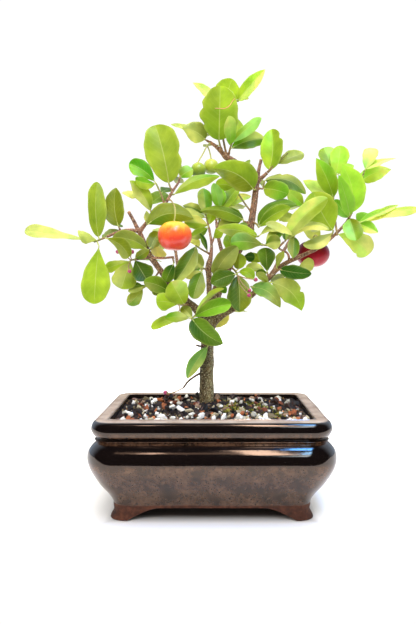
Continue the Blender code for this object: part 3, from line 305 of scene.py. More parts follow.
def lumps(points, size, seed, count=24):
    """Smooth noise from -1 to 1: random values on a lattice of this size, blended by 3t^2 - 2t^3."""
    values = np.random.default_rng(seed).uniform(-1, 1, (count, count, count))
    spot = np.asarray(points, float) / size + 100.0
    corner = np.floor(spot).astype(int)
    share = spot - corner
    share = share * share * (3 - 2 * share)
    total = np.zeros(spot.shape[:-1])
    for step in np.ndindex(2, 2, 2):
        weight = np.prod(np.where(step, share, 1 - share), axis=-1)
        i, j, k = np.moveaxis((corner + step) % count, -1, 0)
        total += weight * values[i, j, k]
    return total


class Shell:
    """A mesh put together from several closed tubes, each with its own finish, colours and map."""

    def __init__(self):
        self.points, self.faces, self.slots, self.colours, self.maps = [], [], [], [], []
        self.count = 0

    def add_tube(self, rings, colour=(1, 1, 1), slot=0, chart=(0, 0)):
        """Closes rings into a tube, in one colour or one a ring or point; chart is one spot or all."""
        points, faces = closed_tube(rings)
        colour = np.broadcast_to(np.asarray(colour, float), rings.shape)
        ends = [colour[0].mean(axis=0), colour[-1].mean(axis=0)]
        self.points.append(points)
        self.faces += [[corner + self.count for corner in face] for face in faces]
        self.slots += [slot] * len(faces)
        self.colours.append(np.vstack([colour.reshape(-1, 3), *ends]))
        self.maps.append(np.broadcast_to(np.asarray(chart, float), (len(points), 2)))
        self.count += len(points)


def make_piece(name, shell, finishes, replaces=(), sharp=None, weld=False):
    """Puts the arrays into a mesh at its place in the frame, and lets it ride on the plant's one body."""
    mesh = bpy.data.meshes.new(name)
    points = (np.vstack(shell.points) + MIDDLE) * MM
    mesh.from_pydata(points.tolist(), [], shell.faces)
    mesh.polygons.foreach_set("material_index", np.array(shell.slots, np.int32))
    mesh.shade_smooth()
    if sharp:
        mesh.set_sharp_from_angle(angle=math.radians(sharp))
    tone = mesh.attributes.new("tone", "FLOAT_COLOR", "POINT")
    colours = np.column_stack([np.vstack(shell.colours), np.ones(len(points))])
    tone.data.foreach_set("color", colours.astype(np.float32).ravel())
    corners = np.empty(len(mesh.loops), np.int32)
    mesh.loops.foreach_get("vertex_index", corners)
    chart = mesh.uv_layers.new(name="blade")
    chart.data.foreach_set("uv", np.vstack(shell.maps)[corners].astype(np.float32).ravel())
    if weld:
        work = bmesh.new()
        work.from_mesh(mesh)
        bmesh.ops.remove_doubles(work, verts=work.verts, dist=1e-6)
        work.to_mesh(mesh)
        work.free()
    for finish in finishes:
        mesh.materials.append(finish)
    obj = bpy.data.objects.new(name, mesh)
    bpy.context.scene.collection.objects.link(obj)
    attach(obj, "root")
    if replaces:
        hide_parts(*replaces)
    print(name, "has", sum(len(face) - 2 for face in shell.faces), "triangles")


# %% [markdown]
# ## The pot
#
# It is one fired piece of stoneware: four bracket feet cut from a foot ring, a full belly, a groove, a
# rolled lip and a flat rim. It could be a box with bevels, but its corners change their radius from the
# feet to the belly and back, so it is a loft: each row of the table is a round-cornered rectangle, and a
# curve through the rows gives the ones in between. The brackets come from lifting the lowest rows onto an
# arch between the feet.

# %% Pot profile and rings
FOOT_LINE = 9.5
POT_OUTSIDE = np.array([
    (0.5, 84.4, 59.4, 13.0),
    (1.6, 84.1, 59.1, 13.0),
    (4.0, 82.6, 57.6, 13.0),
    (6.5, 81.9, 56.9, 13.0),
    (FOOT_LINE, 82.3, 57.3, 13.0),
    (14.0, 82.9, 57.9, 13.0),
    (20.0, 86.0, 61.0, 14.0),
    (30.0, 93.3, 68.3, 17.5),
    (40.0, 99.4, 74.4, 22.0),
    (47.0, 102.3, 77.3, 25.0),
    (52.7, 103.0, 78.0, 26.0),
    (57.5, 101.8, 76.8, 24.0),
    (61.5, 98.9, 73.9, 20.0),
    (64.3, 95.8, 70.8, 16.0),
    (65.0, 94.8, 69.8, 15.2),
    (65.8, 95.1, 70.1, 15.1),
    (66.8, 95.8, 70.8, 15.1),
    (67.4, 95.9, 70.9, 15.0),
    (68.0, 94.0, 69.0, 14.4),
    (69.3, 93.9, 68.9, 14.4),
    (70.2, 96.3, 71.3, 15.0),
    (75.0, 98.4, 73.4, 15.0),
    (78.5, 98.2, 73.2, 15.0),
    (81.3, 96.8, 71.8, 14.2),
    (82.7, 94.8, 69.8, 13.2),
])
POT_INSIDE = np.array([
    (83.0, 92.5, 67.5, 11.5),
    (82.9, 87.0, 62.0, 7.5),
    (82.3, 84.8, 59.8, 5.6),
    (81.0, 84.0, 59.0, 5.0),
    (60.0, 84.0, 59.0, 5.0),
    (32.0, 81.0, 56.0, 7.0),
    (18.0, 72.0, 47.0, 8.0),
])
UNDER_FLOOR = (74.0, 49.0, 6.0)
ARCH_RING = (83.0, 58.0, 13.0)
ARCH_FRONT = (43.0, 68.0)
ARCH_SIDE = (20.0, 43.0)
ARCH_POWER = 1.7
HAND_WAVER = 0.35
MEAN_HALF = 90
CORNER_STEPS = 12
LONG_STEPS = 64
SHORT_STEPS = 44
CLAY_EDGE = 0.5


def ring_pattern():
    """Round the rim: the share across and along, each -1 to 1, and the outward direction of each point."""
    rows = []
    corners = [(1, 1, LONG_STEPS), (-1, 1, SHORT_STEPS), (-1, -1, LONG_STEPS), (1, -1, SHORT_STEPS)]
    for quarter, (side_x, side_y, steps) in enumerate(corners):
        for angle in np.linspace(0, math.pi / 2, CORNER_STEPS + 1) + quarter * math.pi / 2:
            rows.append((side_x, side_y, math.cos(angle), math.sin(angle)))
        for share in np.arange(1, steps) / steps:
            if steps == LONG_STEPS:
                rows.append((side_x * (1 - 2 * share), side_y, 0.0, side_y))
            else:
                rows.append((side_x, side_y * (1 - 2 * share), side_x, 0.0))
    return np.array(rows).T


RING = ring_pattern()


def ring_points(half_x, half_y, radius):
    """A rectangle with round corners: share * (half - radius) + outward * radius, across and along."""
    share_x, share_y, out_x, out_y = RING
    return share_x * (half_x - radius) + out_x * radius, share_y * (half_y - radius) + out_y * radius


def rectangles(rows):
    """Rows of (height, half length, half width, radius), each one row or one per ring point, as rings."""
    height, half_x, half_y, radius = (np.atleast_2d(value.T).T for value in np.moveaxis(rows, -1, 0))
    x, y = ring_points(half_x, half_y, radius)
    return np.stack([x, y, np.broadcast_to(height, x.shape)], axis=-1)


def arch_height():
    """How far each point is lifted: FOOT_LINE * (1 - (1 - t)^ARCH_POWER), t inwards from each foot's edge."""
    x, y = ring_points(*ARCH_RING)
    _, _, out_x, out_y = RING
    along_front = (ARCH_FRONT[1] - np.abs(x)) / (ARCH_FRONT[1] - ARCH_FRONT[0])
    along_side = (ARCH_SIDE[1] - np.abs(y)) / (ARCH_SIDE[1] - ARCH_SIDE[0])
    t = np.where(np.abs(out_x) > 0.99, along_side, 0)
    t = np.clip(np.where(np.abs(out_y) > 0.99, along_front, t), 0, 1)
    return FOOT_LINE * (1 - (1 - t) ** ARCH_POWER)


profile = smooth_path(POT_OUTSIDE, 0.7)
print("rows in the pot's outside:", len(profile), " points in a ring:", RING.shape[1])

# %% Pot surface
lift = arch_height()
heights = np.maximum(profile[:, :1], lift + CLAY_EDGE)
outside = np.stack([heights] + [np.interp(heights, profile[:, 0], profile[:, k]) for k in (1, 2, 3)], axis=-1)
inside = smooth_path(POT_INSIDE, 1.2)[:, None] * np.ones((1, RING.shape[1], 1))


def foot_ring(share):
    """The underside from the outer edge, share 0, to the inner wall, share 1, with softened clay edges."""
    height = lift + CLAY_EDGE * (2 * share - 1) ** 4
    if share > 0.5:
        height = np.minimum(height, FOOT_LINE)
    return np.column_stack([height, blend(outside[0, :, 1:], np.array(UNDER_FLOOR), share)])


INWARDS = (1, 0.5, 0.4, 0.5)
inner_wall = np.tile((FOOT_LINE, *UNDER_FLOOR), (RING.shape[1], 1))
under = [inner_wall * INWARDS, inner_wall]
under += [foot_ring(share) for share in (1.0, 0.93, 0.8, 0.5, 0.2, 0.07)]
pot_rings = rectangles(np.concatenate([np.array(under), outside, inside, inside[-1:] * INWARDS]))
hand = lumps(pot_rings, 34.0, 3) * HAND_WAVER * np.clip(pot_rings[..., 2:] / 30 - 0.4, 0, 1)[..., 0]
pot_rings[..., :2] *= 1 + (hand / MEAN_HALF)[..., None]
pot_shell = Shell()
pot_shell.add_tube(pot_rings)

# %% [markdown]
# ## Glaze and clay
#
# The glaze broke to a pinkish beige on the flat rim. Elsewhere its colour is painted by height. It is almost
# black on the lip, the shoulder and the groove's floor, a painted reflection of the dark room, with painted
# shade in the groove. It is a mottled brown between them and on the lower half, partly the glaze's own colour
# and partly a painted reflection of the bright table in its lustre. Reflections alone could make the dark
# bands, but they would move with the room, so the bands are blended in by height. Noise mottles the brown,
# and a warm tint colours the mirror image. Below a wavering line the clay is bare and rough, so colour and
# roughness change there.

# %% Pot finish
# Heights over which a look sets in; for the two painted dark bands, also the heights over which it fades
CLAY_LINE = (12.8, 13.8)
SHOULDER = (48.0, 51.0, 63.8, 64.8)
GROOVE = (67.2, 67.7, 69.8, 70.4)
LIP = (73.0, 74.8)
RIM = (82.2, 82.9)

clay_glaze, tree = new_finish("clay_glaze")
height = axes(tree)[2]
wavering = calc(tree, "MULTIPLY_ADD", speckle(tree, 45), 0.0022, height)
glazed = between_mm(tree, wavering, *CLAY_LINE)
mottle = speckle(tree, 70, 6, roughness=0.65)
drips = speckle(tree, 260, 4, stretch=(1, 1, 0.12))
pits = speckle(tree, 420, 3)
specks = speckle(tree, 330, 4, roughness=0.7)
# The mottled brown is partly the glaze's own colour and partly a painted reflection of the bright table in
# its lustre
brown = ramp(tree, mottle, [(0.34, rgba(10, 5, 3)), (0.5, rgba(58, 38, 26)), (0.66, rgba(84, 60, 44))])
brown = mixed(tree, times(tree, between(tree, drips, 0.5, 0.7), 0.4), brown, rgba(96, 72, 54))
brown = mixed(tree, times(tree, between(tree, specks, 0.46, 0.38), 0.85), brown, rgba(10, 5, 3))
# Painted reflection of the dark room on the lip, the shoulder and the groove's floor, with painted shade in
# the groove
painted_dark_bands = between_mm(tree, height, *LIP)
for low, full, fading, high in (SHOULDER, GROOVE):
    painted_band = times(tree, between_mm(tree, height, low, full), between_mm(tree, height, high, fading))
    painted_dark_bands = calc(tree, "MAXIMUM", painted_dark_bands, painted_band)
brown = mixed(tree, painted_dark_bands, brown, rgba(15, 10, 9))
rim_light = mixed(tree, between(tree, mottle, 0.35, 0.65), rgba(146, 126, 112), rgba(182, 166, 152))
brown = mixed(tree, between_mm(tree, height, *RIM), brown, rim_light)
clay_tone = ramp(tree, speckle(tree, 160, 8, roughness=0.7), [
    (0.3, rgba(36, 16, 10)), (0.5, rgba(64, 32, 21)), (0.7, rgba(98, 56, 38)),
])
wear = calc(tree, "MULTIPLY_ADD", mottle, 0.12, 0.03)
glaze_roughness = calc(tree, "MULTIPLY_ADD", between(tree, pits, 0.6, 0.75), 0.18, wear)
relief = calc(tree, "ADD", times(tree, speckle(tree, 30, 2), 0.5), times(tree, pits, 0.06))
surface = calc(tree, "ADD", times(tree, relief, glazed), glazed)
clay_height = times(tree, speckle(tree, 900, 6, roughness=0.7), calc(tree, "SUBTRACT", 1.0, glazed))
finish_with(tree, gloss(
    tree,
    Base_Color=mixed(tree, glazed, clay_tone, brown),
    Roughness=node(tree, "Mix", {0: glazed, 2: 0.85, 3: glaze_roughness}).outputs[0],
    IOR=1.6,
    Specular_Tint=(1.0, 0.8, 0.66, 1.0),
    Normal=bumped(tree, calc(tree, "ADD", surface, clay_height), 0.6, 0.0004),
))
make_piece("glazed_pot", pot_shell, [clay_glaze], ["pot"], sharp=60, weld=True)

# %% [markdown]
# ## Potting mix
#
# The pot is filled to just under its rim with a dark crumbly mix, a little higher round the trunk. Its top
# is a grid that follows the pot's inside; noise of three sizes gives it relief. White perlite, orange lava,
# beige grit, dark bark chips and a little moss lie on it. Balls would look like beads and free shapes would
# cost a list of points, so each grain is a small ball cut by random planes, made lumpy by noise, turned at
# random and partly sunk.

# %% Soil body
OPENING = (84.0, 59.0, 5.0)
SOIL_GAP = 0.3
SOIL_EDGE_Z = 77.0
SOIL_MOUND = 5.0
SOIL_WALL_Z = (70.0, 60.0)
SOIL_BOTTOM_Z = 19.0


def soil_height(x, y):
    """SOIL_EDGE_Z + SOIL_MOUND * exp(-(across^2 + along^2) / 2), with noise of three sizes."""
    smooth = SOIL_EDGE_Z + SOIL_MOUND * np.exp(-(((x + 6) / 60) ** 2 + ((y - TRUNK_Y) / 40) ** 2) / 2)
    spot = np.stack([x, y, np.zeros_like(x)], axis=-1)
    return smooth + 1.1 * lumps(spot, 11.0, 5) + 0.7 * lumps(spot, 4.2, 6) + 0.35 * lumps(spot, 1.9, 7)


spread = np.linspace(0.0, 1.0, 72)[1:, None, None]
half_x, half_y, corner_radius = OPENING
edge_ring = rectangles(np.array([[SOIL_EDGE_Z, half_x - SOIL_GAP, half_y - SOIL_GAP, corner_radius]]))
top = edge_ring * np.concatenate([spread, spread, spread**0], axis=-1)
top[..., 2] = soil_height(top[..., 0], top[..., 1])
wall = np.repeat(edge_ring, 2, axis=0)
wall[:, :, 2] = np.array(SOIL_WALL_Z)[:, None]
bottom = edge_ring * (0.9, 0.85, 0) + (0, 0, SOIL_BOTTOM_Z)
soil_shell = Shell()
soil_shell.add_tube(np.concatenate([bottom, wall[::-1], top[::-1]]))

potting_mix, tree = new_finish("potting_mix")
crumb = speckle(tree, 700, 8, roughness=0.7)
dark_mix = ramp(tree, crumb, [(0.35, rgba(14, 9, 7)), (0.55, rgba(38, 26, 19)), (0.72, rgba(92, 62, 42))])
finish_with(tree, gloss(tree, Base_Color=dark_mix, Roughness=0.85, Normal=bumped(tree, crumb, 1.0, 0.0009)))
make_piece("soil_bed", soil_shell, [potting_mix], ["soil"])

# %% Grains on the soil
# The grains keep off the back wall by BACK_CLEAR, so that bare dark soil shows there as a painted shadow of
# the wall
BACK_CLEAR = 6.0
FRONT_SPREAD = 9.0
TRUNK_FOOT_X = -5.5
TRUNK_CLEAR = 9.0


def grain_shape(rows=6, columns=8):
    """Rings of a unit ball between its poles: (cos a * sin t, sin a * sin t, cos t)."""
    t = np.linspace(math.pi, 0, rows + 2)[1:-1, None]
    a = np.linspace(0, 2 * math.pi, columns, endpoint=False)[None, :]
    return np.stack([np.cos(a) * np.sin(t), np.sin(a) * np.sin(t), np.cos(t) * np.ones_like(a)], axis=-1)


def turned(count, chance):
    """Random rotations as matrices, from unit quaternions."""
    w, x, y, z = chance.normal(size=(count, 4)).T
    length = np.sqrt(w * w + x * x + y * y + z * z)
    w, x, y, z = w / length, x / length, y / length, z / length
    rows = [
        [1 - 2 * (y * y + z * z), 2 * (x * y - w * z), 2 * (x * z + w * y)],
        [2 * (x * y + w * z), 1 - 2 * (x * x + z * z), 2 * (y * z - w * x)],
        [2 * (x * z - w * y), 2 * (y * z + w * x), 1 - 2 * (x * x + y * y)],
    ]
    return np.moveaxis(np.array(rows), -1, 0)


def on_soil(count, chance, margin, front):
    """Spots that keep off the pot's wall and the trunk; front is the share drawn to the front edge."""
    x = chance.uniform(margin - half_x, half_x - margin, count)
    y = chance.uniform(margin - half_y, half_y - margin - BACK_CLEAR, count)
    drawn = chance.uniform(size=count) < front
    y = np.where(drawn, margin - half_y + np.abs(chance.normal(0, FRONT_SPREAD, count)), y)
    free = np.hypot(x - TRUNK_FOOT_X, y - TRUNK_Y) > TRUNK_CLEAR
    return x[free], y[free]


def facets(directions, chance, count, cuts=9):
    """A ball cut by random planes: in each direction the smallest of cut / (direction . normal)."""
    normals = chance.normal(size=(count, cuts, 3))
    normals /= np.linalg.norm(normals, axis=-1, keepdims=True)
    facing = np.einsum("kj,ncj->nkc", directions, normals)
    cut = chance.uniform(0.5, 0.9, (count, 1, cuts))
    return np.minimum((cut / np.maximum(facing, 0.05)).min(axis=2), 1.2)


def strew(shell, count, size, flatness, sunk, palette, seed, roughness, front=0.0, where=None, fine=True):
    """Adds up to count grains: cut, lumpy, stretched, turned, with the share sunk under the soil."""
    chance = np.random.default_rng(seed)
    x, y = where(chance, count) if where else on_soil(count, chance, size[1], front)
    count = len(x)
    ball = grain_shape() if fine else grain_shape(3, 5)
    flat = ball.reshape(-1, 3)
    reach = size[0] + (size[1] - size[0]) * chance.uniform(size=(count, 1)) ** 1.6
    sideways = chance.uniform(0.75, 1.5, (count, 2))
    stretch = np.column_stack([sideways, np.full(count, flatness)])
    lumpy = facets(flat, chance, count)
    spots = flat[None] + chance.uniform(0, 20, (count, 1, 3))
    lumpy = lumpy * (1 + roughness * lumps(spots, 0.9, seed))
    points = flat[None] * lumpy[..., None] * (reach * stretch)[:, None]
    points = np.einsum("nij,nkj->nki", turned(count, chance), points)
    points[..., 0] += x[:, None]
    points[..., 1] += y[:, None]
    ground = soil_height(x, y)
    points[..., 2] += (ground + reach[:, 0] * flatness * (1 - 2 * sunk))[:, None]
    palette = linear(palette)
    colours = palette[chance.integers(len(palette), size=count)] * chance.uniform(0.8, 1.15, (count, 1))
    for grain, colour in zip(points.reshape(count, *ball.shape), colours):
        shell.add_tube(grain, colour)


def moss_patch(chance, count):
    """Spots round the middles of a few patches to the right of the trunk."""
    middles = np.array([(16.0, 6.0), (30.0, 14.0), (24.0, -10.0), (42.0, 2.0), (12.0, 24.0), (58.0, -24.0)])
    pick = middles[chance.integers(len(middles), size=count)]
    spot = pick + chance.normal(0, 8.0, (count, 2))
    return spot[:, 0], spot[:, 1]


WHITES = [(240, 238, 230), (252, 250, 244), (206, 202, 188)]
RUSTS = [(164, 94, 56), (196, 118, 70), (122, 66, 42)]
BEIGES = [(150, 122, 98), (112, 98, 70), (186, 172, 140), (120, 92, 84)]
TANS = [
    (120, 92, 52), (88, 62, 36), (150, 136, 92), (60, 42, 26), (176, 104, 58), (36, 26, 20), (206, 198, 176),
]
DARKS = [(30, 21, 17), (48, 33, 25), (22, 16, 14), (64, 42, 32)]
GREENS = [(112, 112, 30), (146, 136, 44), (74, 82, 20), (52, 58, 14), (168, 160, 66)]
perlite, lava, grit, bark_chips, moss = Shell(), Shell(), Shell(), Shell(), Shell()
strew(perlite, 190, (0.9, 3.4), 0.8, 0.15, WHITES, 11, 0.3, 0.45)
strew(lava, 110, (1.3, 3.2), 0.75, 0.2, RUSTS, 12, 0.4, 0.15)
strew(grit, 170, (1.1, 3.2), 0.8, 0.2, BEIGES, 13, 0.4, 0.3)
strew(grit, 900, (0.5, 1.3), 0.7, 0.1, TANS, 17, 0.4, 0.15, fine=False)
strew(bark_chips, 380, (1.5, 4.8), 0.5, 0.55, DARKS, 14, 0.4)
strew(moss, 700, (0.5, 1.5), 0.7, 0.1, GREENS, 15, 0.6, where=moss_patch, fine=False)

for name, finish_name, shell, scale, pore, rough, depth in (
    ("perlite", "perlite", perlite, 1500, 0.62, 0.8, 0.0004),
    ("lava_grains", "lava", lava, 1800, 0.45, 0.85, 0.0005),
    ("beige_grit", "grit", grit, 1100, 0.55, 0.75, 0.0003),
    ("bark_chips", "chips", bark_chips, 900, 0.35, 0.7, 0.0006),
    ("moss", "moss", moss, 2600, 0.4, 0.9, 0.0008),
):
    dark, light = (0.3, (pore, pore, pore)), (0.6, (1, 1, 1))
    finish = toned_finish(finish_name, scale, 5, dark, light, rough, 0.8, depth, roughness=0.7)
    make_piece(name, shell, [finish], sharp=28)

# %% [markdown]
# ## Wood
#
# Trunk, limbs and twigs grew as one piece. Each is a path of readings with a radius: how far across and up it
# is in the picture, how deep behind the trunk's plane, and how thick. A smooth curve runs through them, rings
# of points go round it, and each limb flares where it leaves its parent. Noise stretched along the trunk
# gives the bark its plates and cracks; small round lumps give the twigs their pores. Low down, the trunk's
# left side is painted darker as painted shade. The pale lichen flecks show fully only on the lit right side,
# so they are real lichen and partly painted light.

# %% Wood readings
TRUNK = [
    (-6.0, 52, 0, 6.5), (-5.7, 82, 0, 6.7), (-5.6, 87, 0, 7.0), (-5.7, 93, 0, 6.9), (-5.8, 104, 0, 6.6),
    (-5.3, 120, 0, 6.4), (-4.8, 138, 0, 6.1), (-3.4, 152, 0, 6.0), (-1.6, 164, 1, 5.6), (0.6, 176, 2, 5.1),
    (6.5, 194, 4, 4.8), (14.5, 211, 6, 4.5), (25.5, 228, 8, 3.9), (34.5, 243, 9, 3.5), (37.5, 255, 10, 3.3),
    (40.0, 272, 11, 3.1), (42.0, 288, 12, 2.9), (43.2, 296.5, 12, 2.7),
]
LIMBS = {
    "dead_stub": [(43, 293, 12, 2.1), (44.5, 304, 12, 1.7), (46.6, 314, 12, 1.5)],
    "top_right_twig": [(43, 293, 12, 2.0), (50, 299, 10, 1.7)],
    "top_limb": [(41.5, 288, 12, 2.6), (34, 302, 19, 2.7), (23, 311, 21, 2.8), (14, 316, 20, 3.1),
                 (9, 321, 19, 2.3), (3, 327, 18, 1.8), (-3, 331, 17, 1.5)],
    "left_limb": [(-3, 156, 0, 4.6), (-14, 169, -5, 3.9), (-22, 176, -9, 3.4), (-32, 185, -12, 3.0),
                  (-42, 196, -14, 2.8), (-50, 208, -15, 2.7), (-60, 222, -16, 2.6), (-66, 235, -17, 2.4),
                  (-71, 247, -18, 2.1)],
    "left_stub": [(-70.5, 245, -18, 1.8), (-76, 256, -19, 1.6), (-80.5, 264, -20, 1.5)],
    "left_twig": [(-69, 245, -18, 1.7), (-79, 246.5, -20, 1.5), (-89, 245, -21, 1.4), (-99, 241, -23, 1.3)],
    "left_upper_twig": [(-70, 245, -18, 1.8), (-57, 261, -14, 1.6), (-46, 271, -11, 1.4), (-38, 284, -8, 1.2),
                        (-32, 293, -6, 1.0)],
    "left_cross_twig": [(-61, 220, -16, 1.3), (-48, 219.5, -19, 1.1), (-38, 220.5, -22, 1.0)],
    "left_cross_spur": [(-59, 221, -16, 1.2), (-66, 219, -14, 1.1), (-71, 219, -12, 1.0)],
    "right_limb": [(-3, 155, 0, 4.0), (8, 164, -3, 3.3), (20, 171, -7, 2.9), (31, 178.5, -10, 2.7),
                   (41, 187, -12, 2.5), (51, 197, -14, 2.4), (60, 207, -15, 2.3), (70, 214.5, -16, 2.1),
                   (85, 221.5, -17, 1.9), (100, 228.5, -18, 1.7), (112, 237, -18, 1.5),
                   (120, 244.5, -17, 1.4), (127, 252, -16, 1.3), (131, 257.5, -15, 1.3)],
    "right_end_twig": [(130, 256, -15, 1.2), (136, 254.5, -17, 1.1)],
    "right_inner_twig": [(74, 216, -16, 1.2), (72, 224, -17, 1.0), (64, 229, -18, 0.9),
                         (67, 233.5, -19, 0.9)],
    "right_back_limb": [(58, 205, -14, 1.9), (66, 222, 10, 1.7), (76, 240, 32, 1.5), (82, 252, 46, 1.3)],
    "leader_twig": [(33, 240, 9, 1.4), (41, 234.5, 2, 1.0), (47, 232.5, -3, 0.9)],
    "centre_stem": [(-1.5, 168, 1, 2.8), (-3, 184, 1, 2.6), (-3.3, 199, 0, 2.6), (-3.7, 211, -1, 3.0),
                    (-1.5, 222, 0, 1.9), (-1, 234, 1, 1.3), (-3, 247, 2, 1.2)],
    "centre_back_limb": [(13, 208, 6, 2.4), (10, 222, 28, 2.1), (6, 238, 48, 1.8), (4, 252, 62, 1.5)],
    "left_back_limb": [(-30, 183, -11, 2.2), (-31, 200, 14, 1.9), (-34, 217, 36, 1.6), (-36, 231, 50, 1.4)],
    "low_twig": [(-9, 110.5, 0, 1.1), (-17, 106, -3, 1.0), (-23.5, 101, -6, 0.95), (-28, 95, -9, 0.85)],
    "low_stub": [(-7, 137, -1, 1.0), (-11, 135, -7, 0.9), (-15.5, 136, -9, 0.9)],
}
wood_lines = [(placed(rows), np.array([row[3] for row in rows], float)) for rows in [TRUNK, *LIMBS.values()]]
print("the wood has", len(wood_lines), "paths")


# %% Where a shoot leaves the wood
def unit(vector):
    """The vector at length 1."""
    return vector / np.linalg.norm(vector)


def nearest_on(points, values, target):
    """The spot on a line closest to the target: its distance, the spot, the values and the heading."""
    best = None
    for (a, b), (first, second) in zip(zip(points, points[1:]), zip(values, values[1:])):
        span = b - a
        share = np.clip((target - a) @ span / (span @ span), 0, 1)
        spot = a + share * span
        distance = np.linalg.norm(spot - target)
        if best is None or distance < best[0]:
            best = (distance, spot, first + share * (second - first), unit(span))
    return best


def nearest_wood(spot):
    """How thick the nearest limb is at a spot, and where it heads if it runs on from there."""
    found = [(*nearest_on(points, radii, spot), points[-1]) for points, radii in wood_lines]
    _, near, depth, heading, end = min(found, key=lambda row: row[0])
    return depth, heading * (np.linalg.norm(end - near) > 2 * depth)


def seated(readings, radius):
    """Where a shoot can bear leaves, as readings; its points from where it is clear of the wood; its spur."""
    start, second = seen(readings[0]), seen(readings[1])
    heading = unit(second - start)
    depth, limb = nearest_wood(start)
    slant = np.linalg.norm(np.cross(heading, limb)) if limb.any() else 1.0
    reach = max(depth + 1.2, (depth + radius + 0.3) / max(slant, 0.4))
    spur = np.array([start - heading * 0.6 * depth, start + heading * reach])
    readings = np.array(readings, float)
    step = (readings[1] - readings[0]) / np.linalg.norm(second - start)
    readings[0] += step * (reach + 0.3)
    points = placed(readings)
    readings[0] += step * 1.3
    readings[-1] += 0.7 * (readings[-2] - readings[-1]) / np.linalg.norm(points[-2] - points[-1])
    return readings, points, spur


# %% Wood surfaces
# Heights and places across, in mm, for the lichen, which is partly painted light on the lit side, and for the
# painted shade on the trunk's left side
LICHEN_TOP = (200.0, 120.0)
LIT_FROM = (-16.5, -11.5)
SHADE_FROM = (-12.5, -16.5)


def bark_relief(points, reach):
    """Plates and cracks, -|noise| stretched along the height, and knots on thick wood; pores on all of it."""
    thick = np.clip((reach - 1.6) / 3.0, 0, 1)
    plates = 0.5 - np.abs(lumps(points * (1, 1, 0.28), 1.9, 21))
    plates = plates - 0.6 * np.abs(lumps(points * (1, 1, 0.4), 0.9, 22))
    knots = np.maximum(lumps(points, 7.0, 23) - 0.35, 0) + 0.5 * np.maximum(lumps(points, 3.2, 24) - 0.3, 0)
    pores = lumps(points, 0.95, 25)
    return thick * (0.42 * plates + 1.1 * knots) + (0.11 + 0.05 * thick) * pores * np.minimum(reach, 1.5)


def wood_colour(points, radius):
    """Olive grey-brown below, redder up the leader, and brown-pink in the thin twigs."""
    low, high, twig = linear((104, 84, 48)), linear((128, 92, 68)), linear((150, 106, 84))
    rise = np.clip((points[..., 2:] - 150) / 90, 0, 1)
    thin = np.clip((2.3 - radius) / 1.2, 0, 1)
    colour = blend(blend(low, high, rise), twig, thin)
    return colour * (1 + 0.25 * lumps(points, 6.0, 26)[..., None])


def limb_rings(path, radius, columns, flare):
    """A limb's rings, wider where it starts: radius * (1 + flare * exp(-length / (1.5 * radius)))."""
    walked = np.concatenate([[0], np.cumsum(np.linalg.norm(np.diff(path, axis=0), axis=1))])
    radius = radius * (1 + flare * np.exp(-walked / (1.5 * radius[0])))
    return rod(path, radius, columns, bark_relief)


def rounded_off(rings, path, share, rise):
    """The rings with one more at the end, this share as wide and a rise further on."""
    tip = rings[-1].mean(axis=0)
    last = tip + (rings[-1] - tip) * share + rise * unit(path[-1, :3] - path[-2, :3])
    return np.concatenate([rings, last[None]])


wood = Shell()
for name, (points, radii) in zip(["trunk", *LIMBS], wood_lines):
    trunk = name == "trunk"
    path = smooth_path(np.column_stack([points, radii]), 0.8 if trunk else 0.7)
    columns = 44 if trunk else 24 if radii.max() > 1.7 else 14
    rings = limb_rings(path[:, :3], path[:, 3], columns, 0.12 if trunk else 0.5)
    rings = rounded_off(rings, path, 0.55, 0.25 * path[-1, 3])
    colour = wood_colour(rings, np.append(path[:, 3], path[-1, 3])[:, None, None])
    if "stub" in name:
        colour[-3:] = linear((176, 132, 92))
    wood.add_tube(rings, colour)


def add_spur(spur, radius):
    """A short peg between limb and shoot, a little swollen, with a brown scar ring where the shoot starts."""
    share = np.linspace(0, 1, 9)
    path = blend(spur[0], spur[1], share[:, None])
    swollen = 1.35 - 0.2 * share + 0.25 * np.exp(-(((share - 0.85) / 0.1) ** 2))
    wood.add_tube(rod(path, radius * swollen, 12), linear((140, 98, 66)))


bark, tree = new_finish("bark")
x, _, z = axes(tree)
cracks = speckle(tree, 620, 8, stretch=(1, 1, 0.55), roughness=0.75)
low_down = between_mm(tree, z, *LICHEN_TOP)
# Pale lichen flecks, shown fully only on the lit right side: real lichen, made stronger there as painted
# light
lit_side = calc(tree, "MULTIPLY_ADD", between_mm(tree, x, *LIT_FROM), 0.75, 0.25)
shade = ramp(tree, cracks, [
    (0.36, (0.16, 0.14, 0.12, 1)), (0.5, (0.85, 0.82, 0.78, 1)), (0.62, (1.7, 1.65, 1.5, 1)),
])
lichen = times(tree, between(tree, speckle(tree, 420, 6, roughness=0.75), 0.47, 0.57), low_down)
pale_spots = times(tree, between(tree, speckle(tree, 800, 3), 0.58, 0.64), 0.7)
# Painted shade: the trunk's left side is painted darker low down
painted_shade_side = times(tree, between_mm(tree, x, *SHADE_FROM), low_down)
colour = mixed(tree, 1.0, painted(tree), shade, "MULTIPLY")
colour = mixed(tree, times(tree, painted_shade_side, 0.6), colour, rgba(34, 22, 10))
colour = mixed(tree, times(tree, lichen, lit_side), colour, rgba(150, 146, 104))
colour = mixed(tree, pale_spots, colour, rgba(206, 192, 150))
finish_with(tree, gloss(tree, Base_Color=colour, Roughness=0.72, Normal=bumped(tree, cracks, 0.9, 0.0005)))
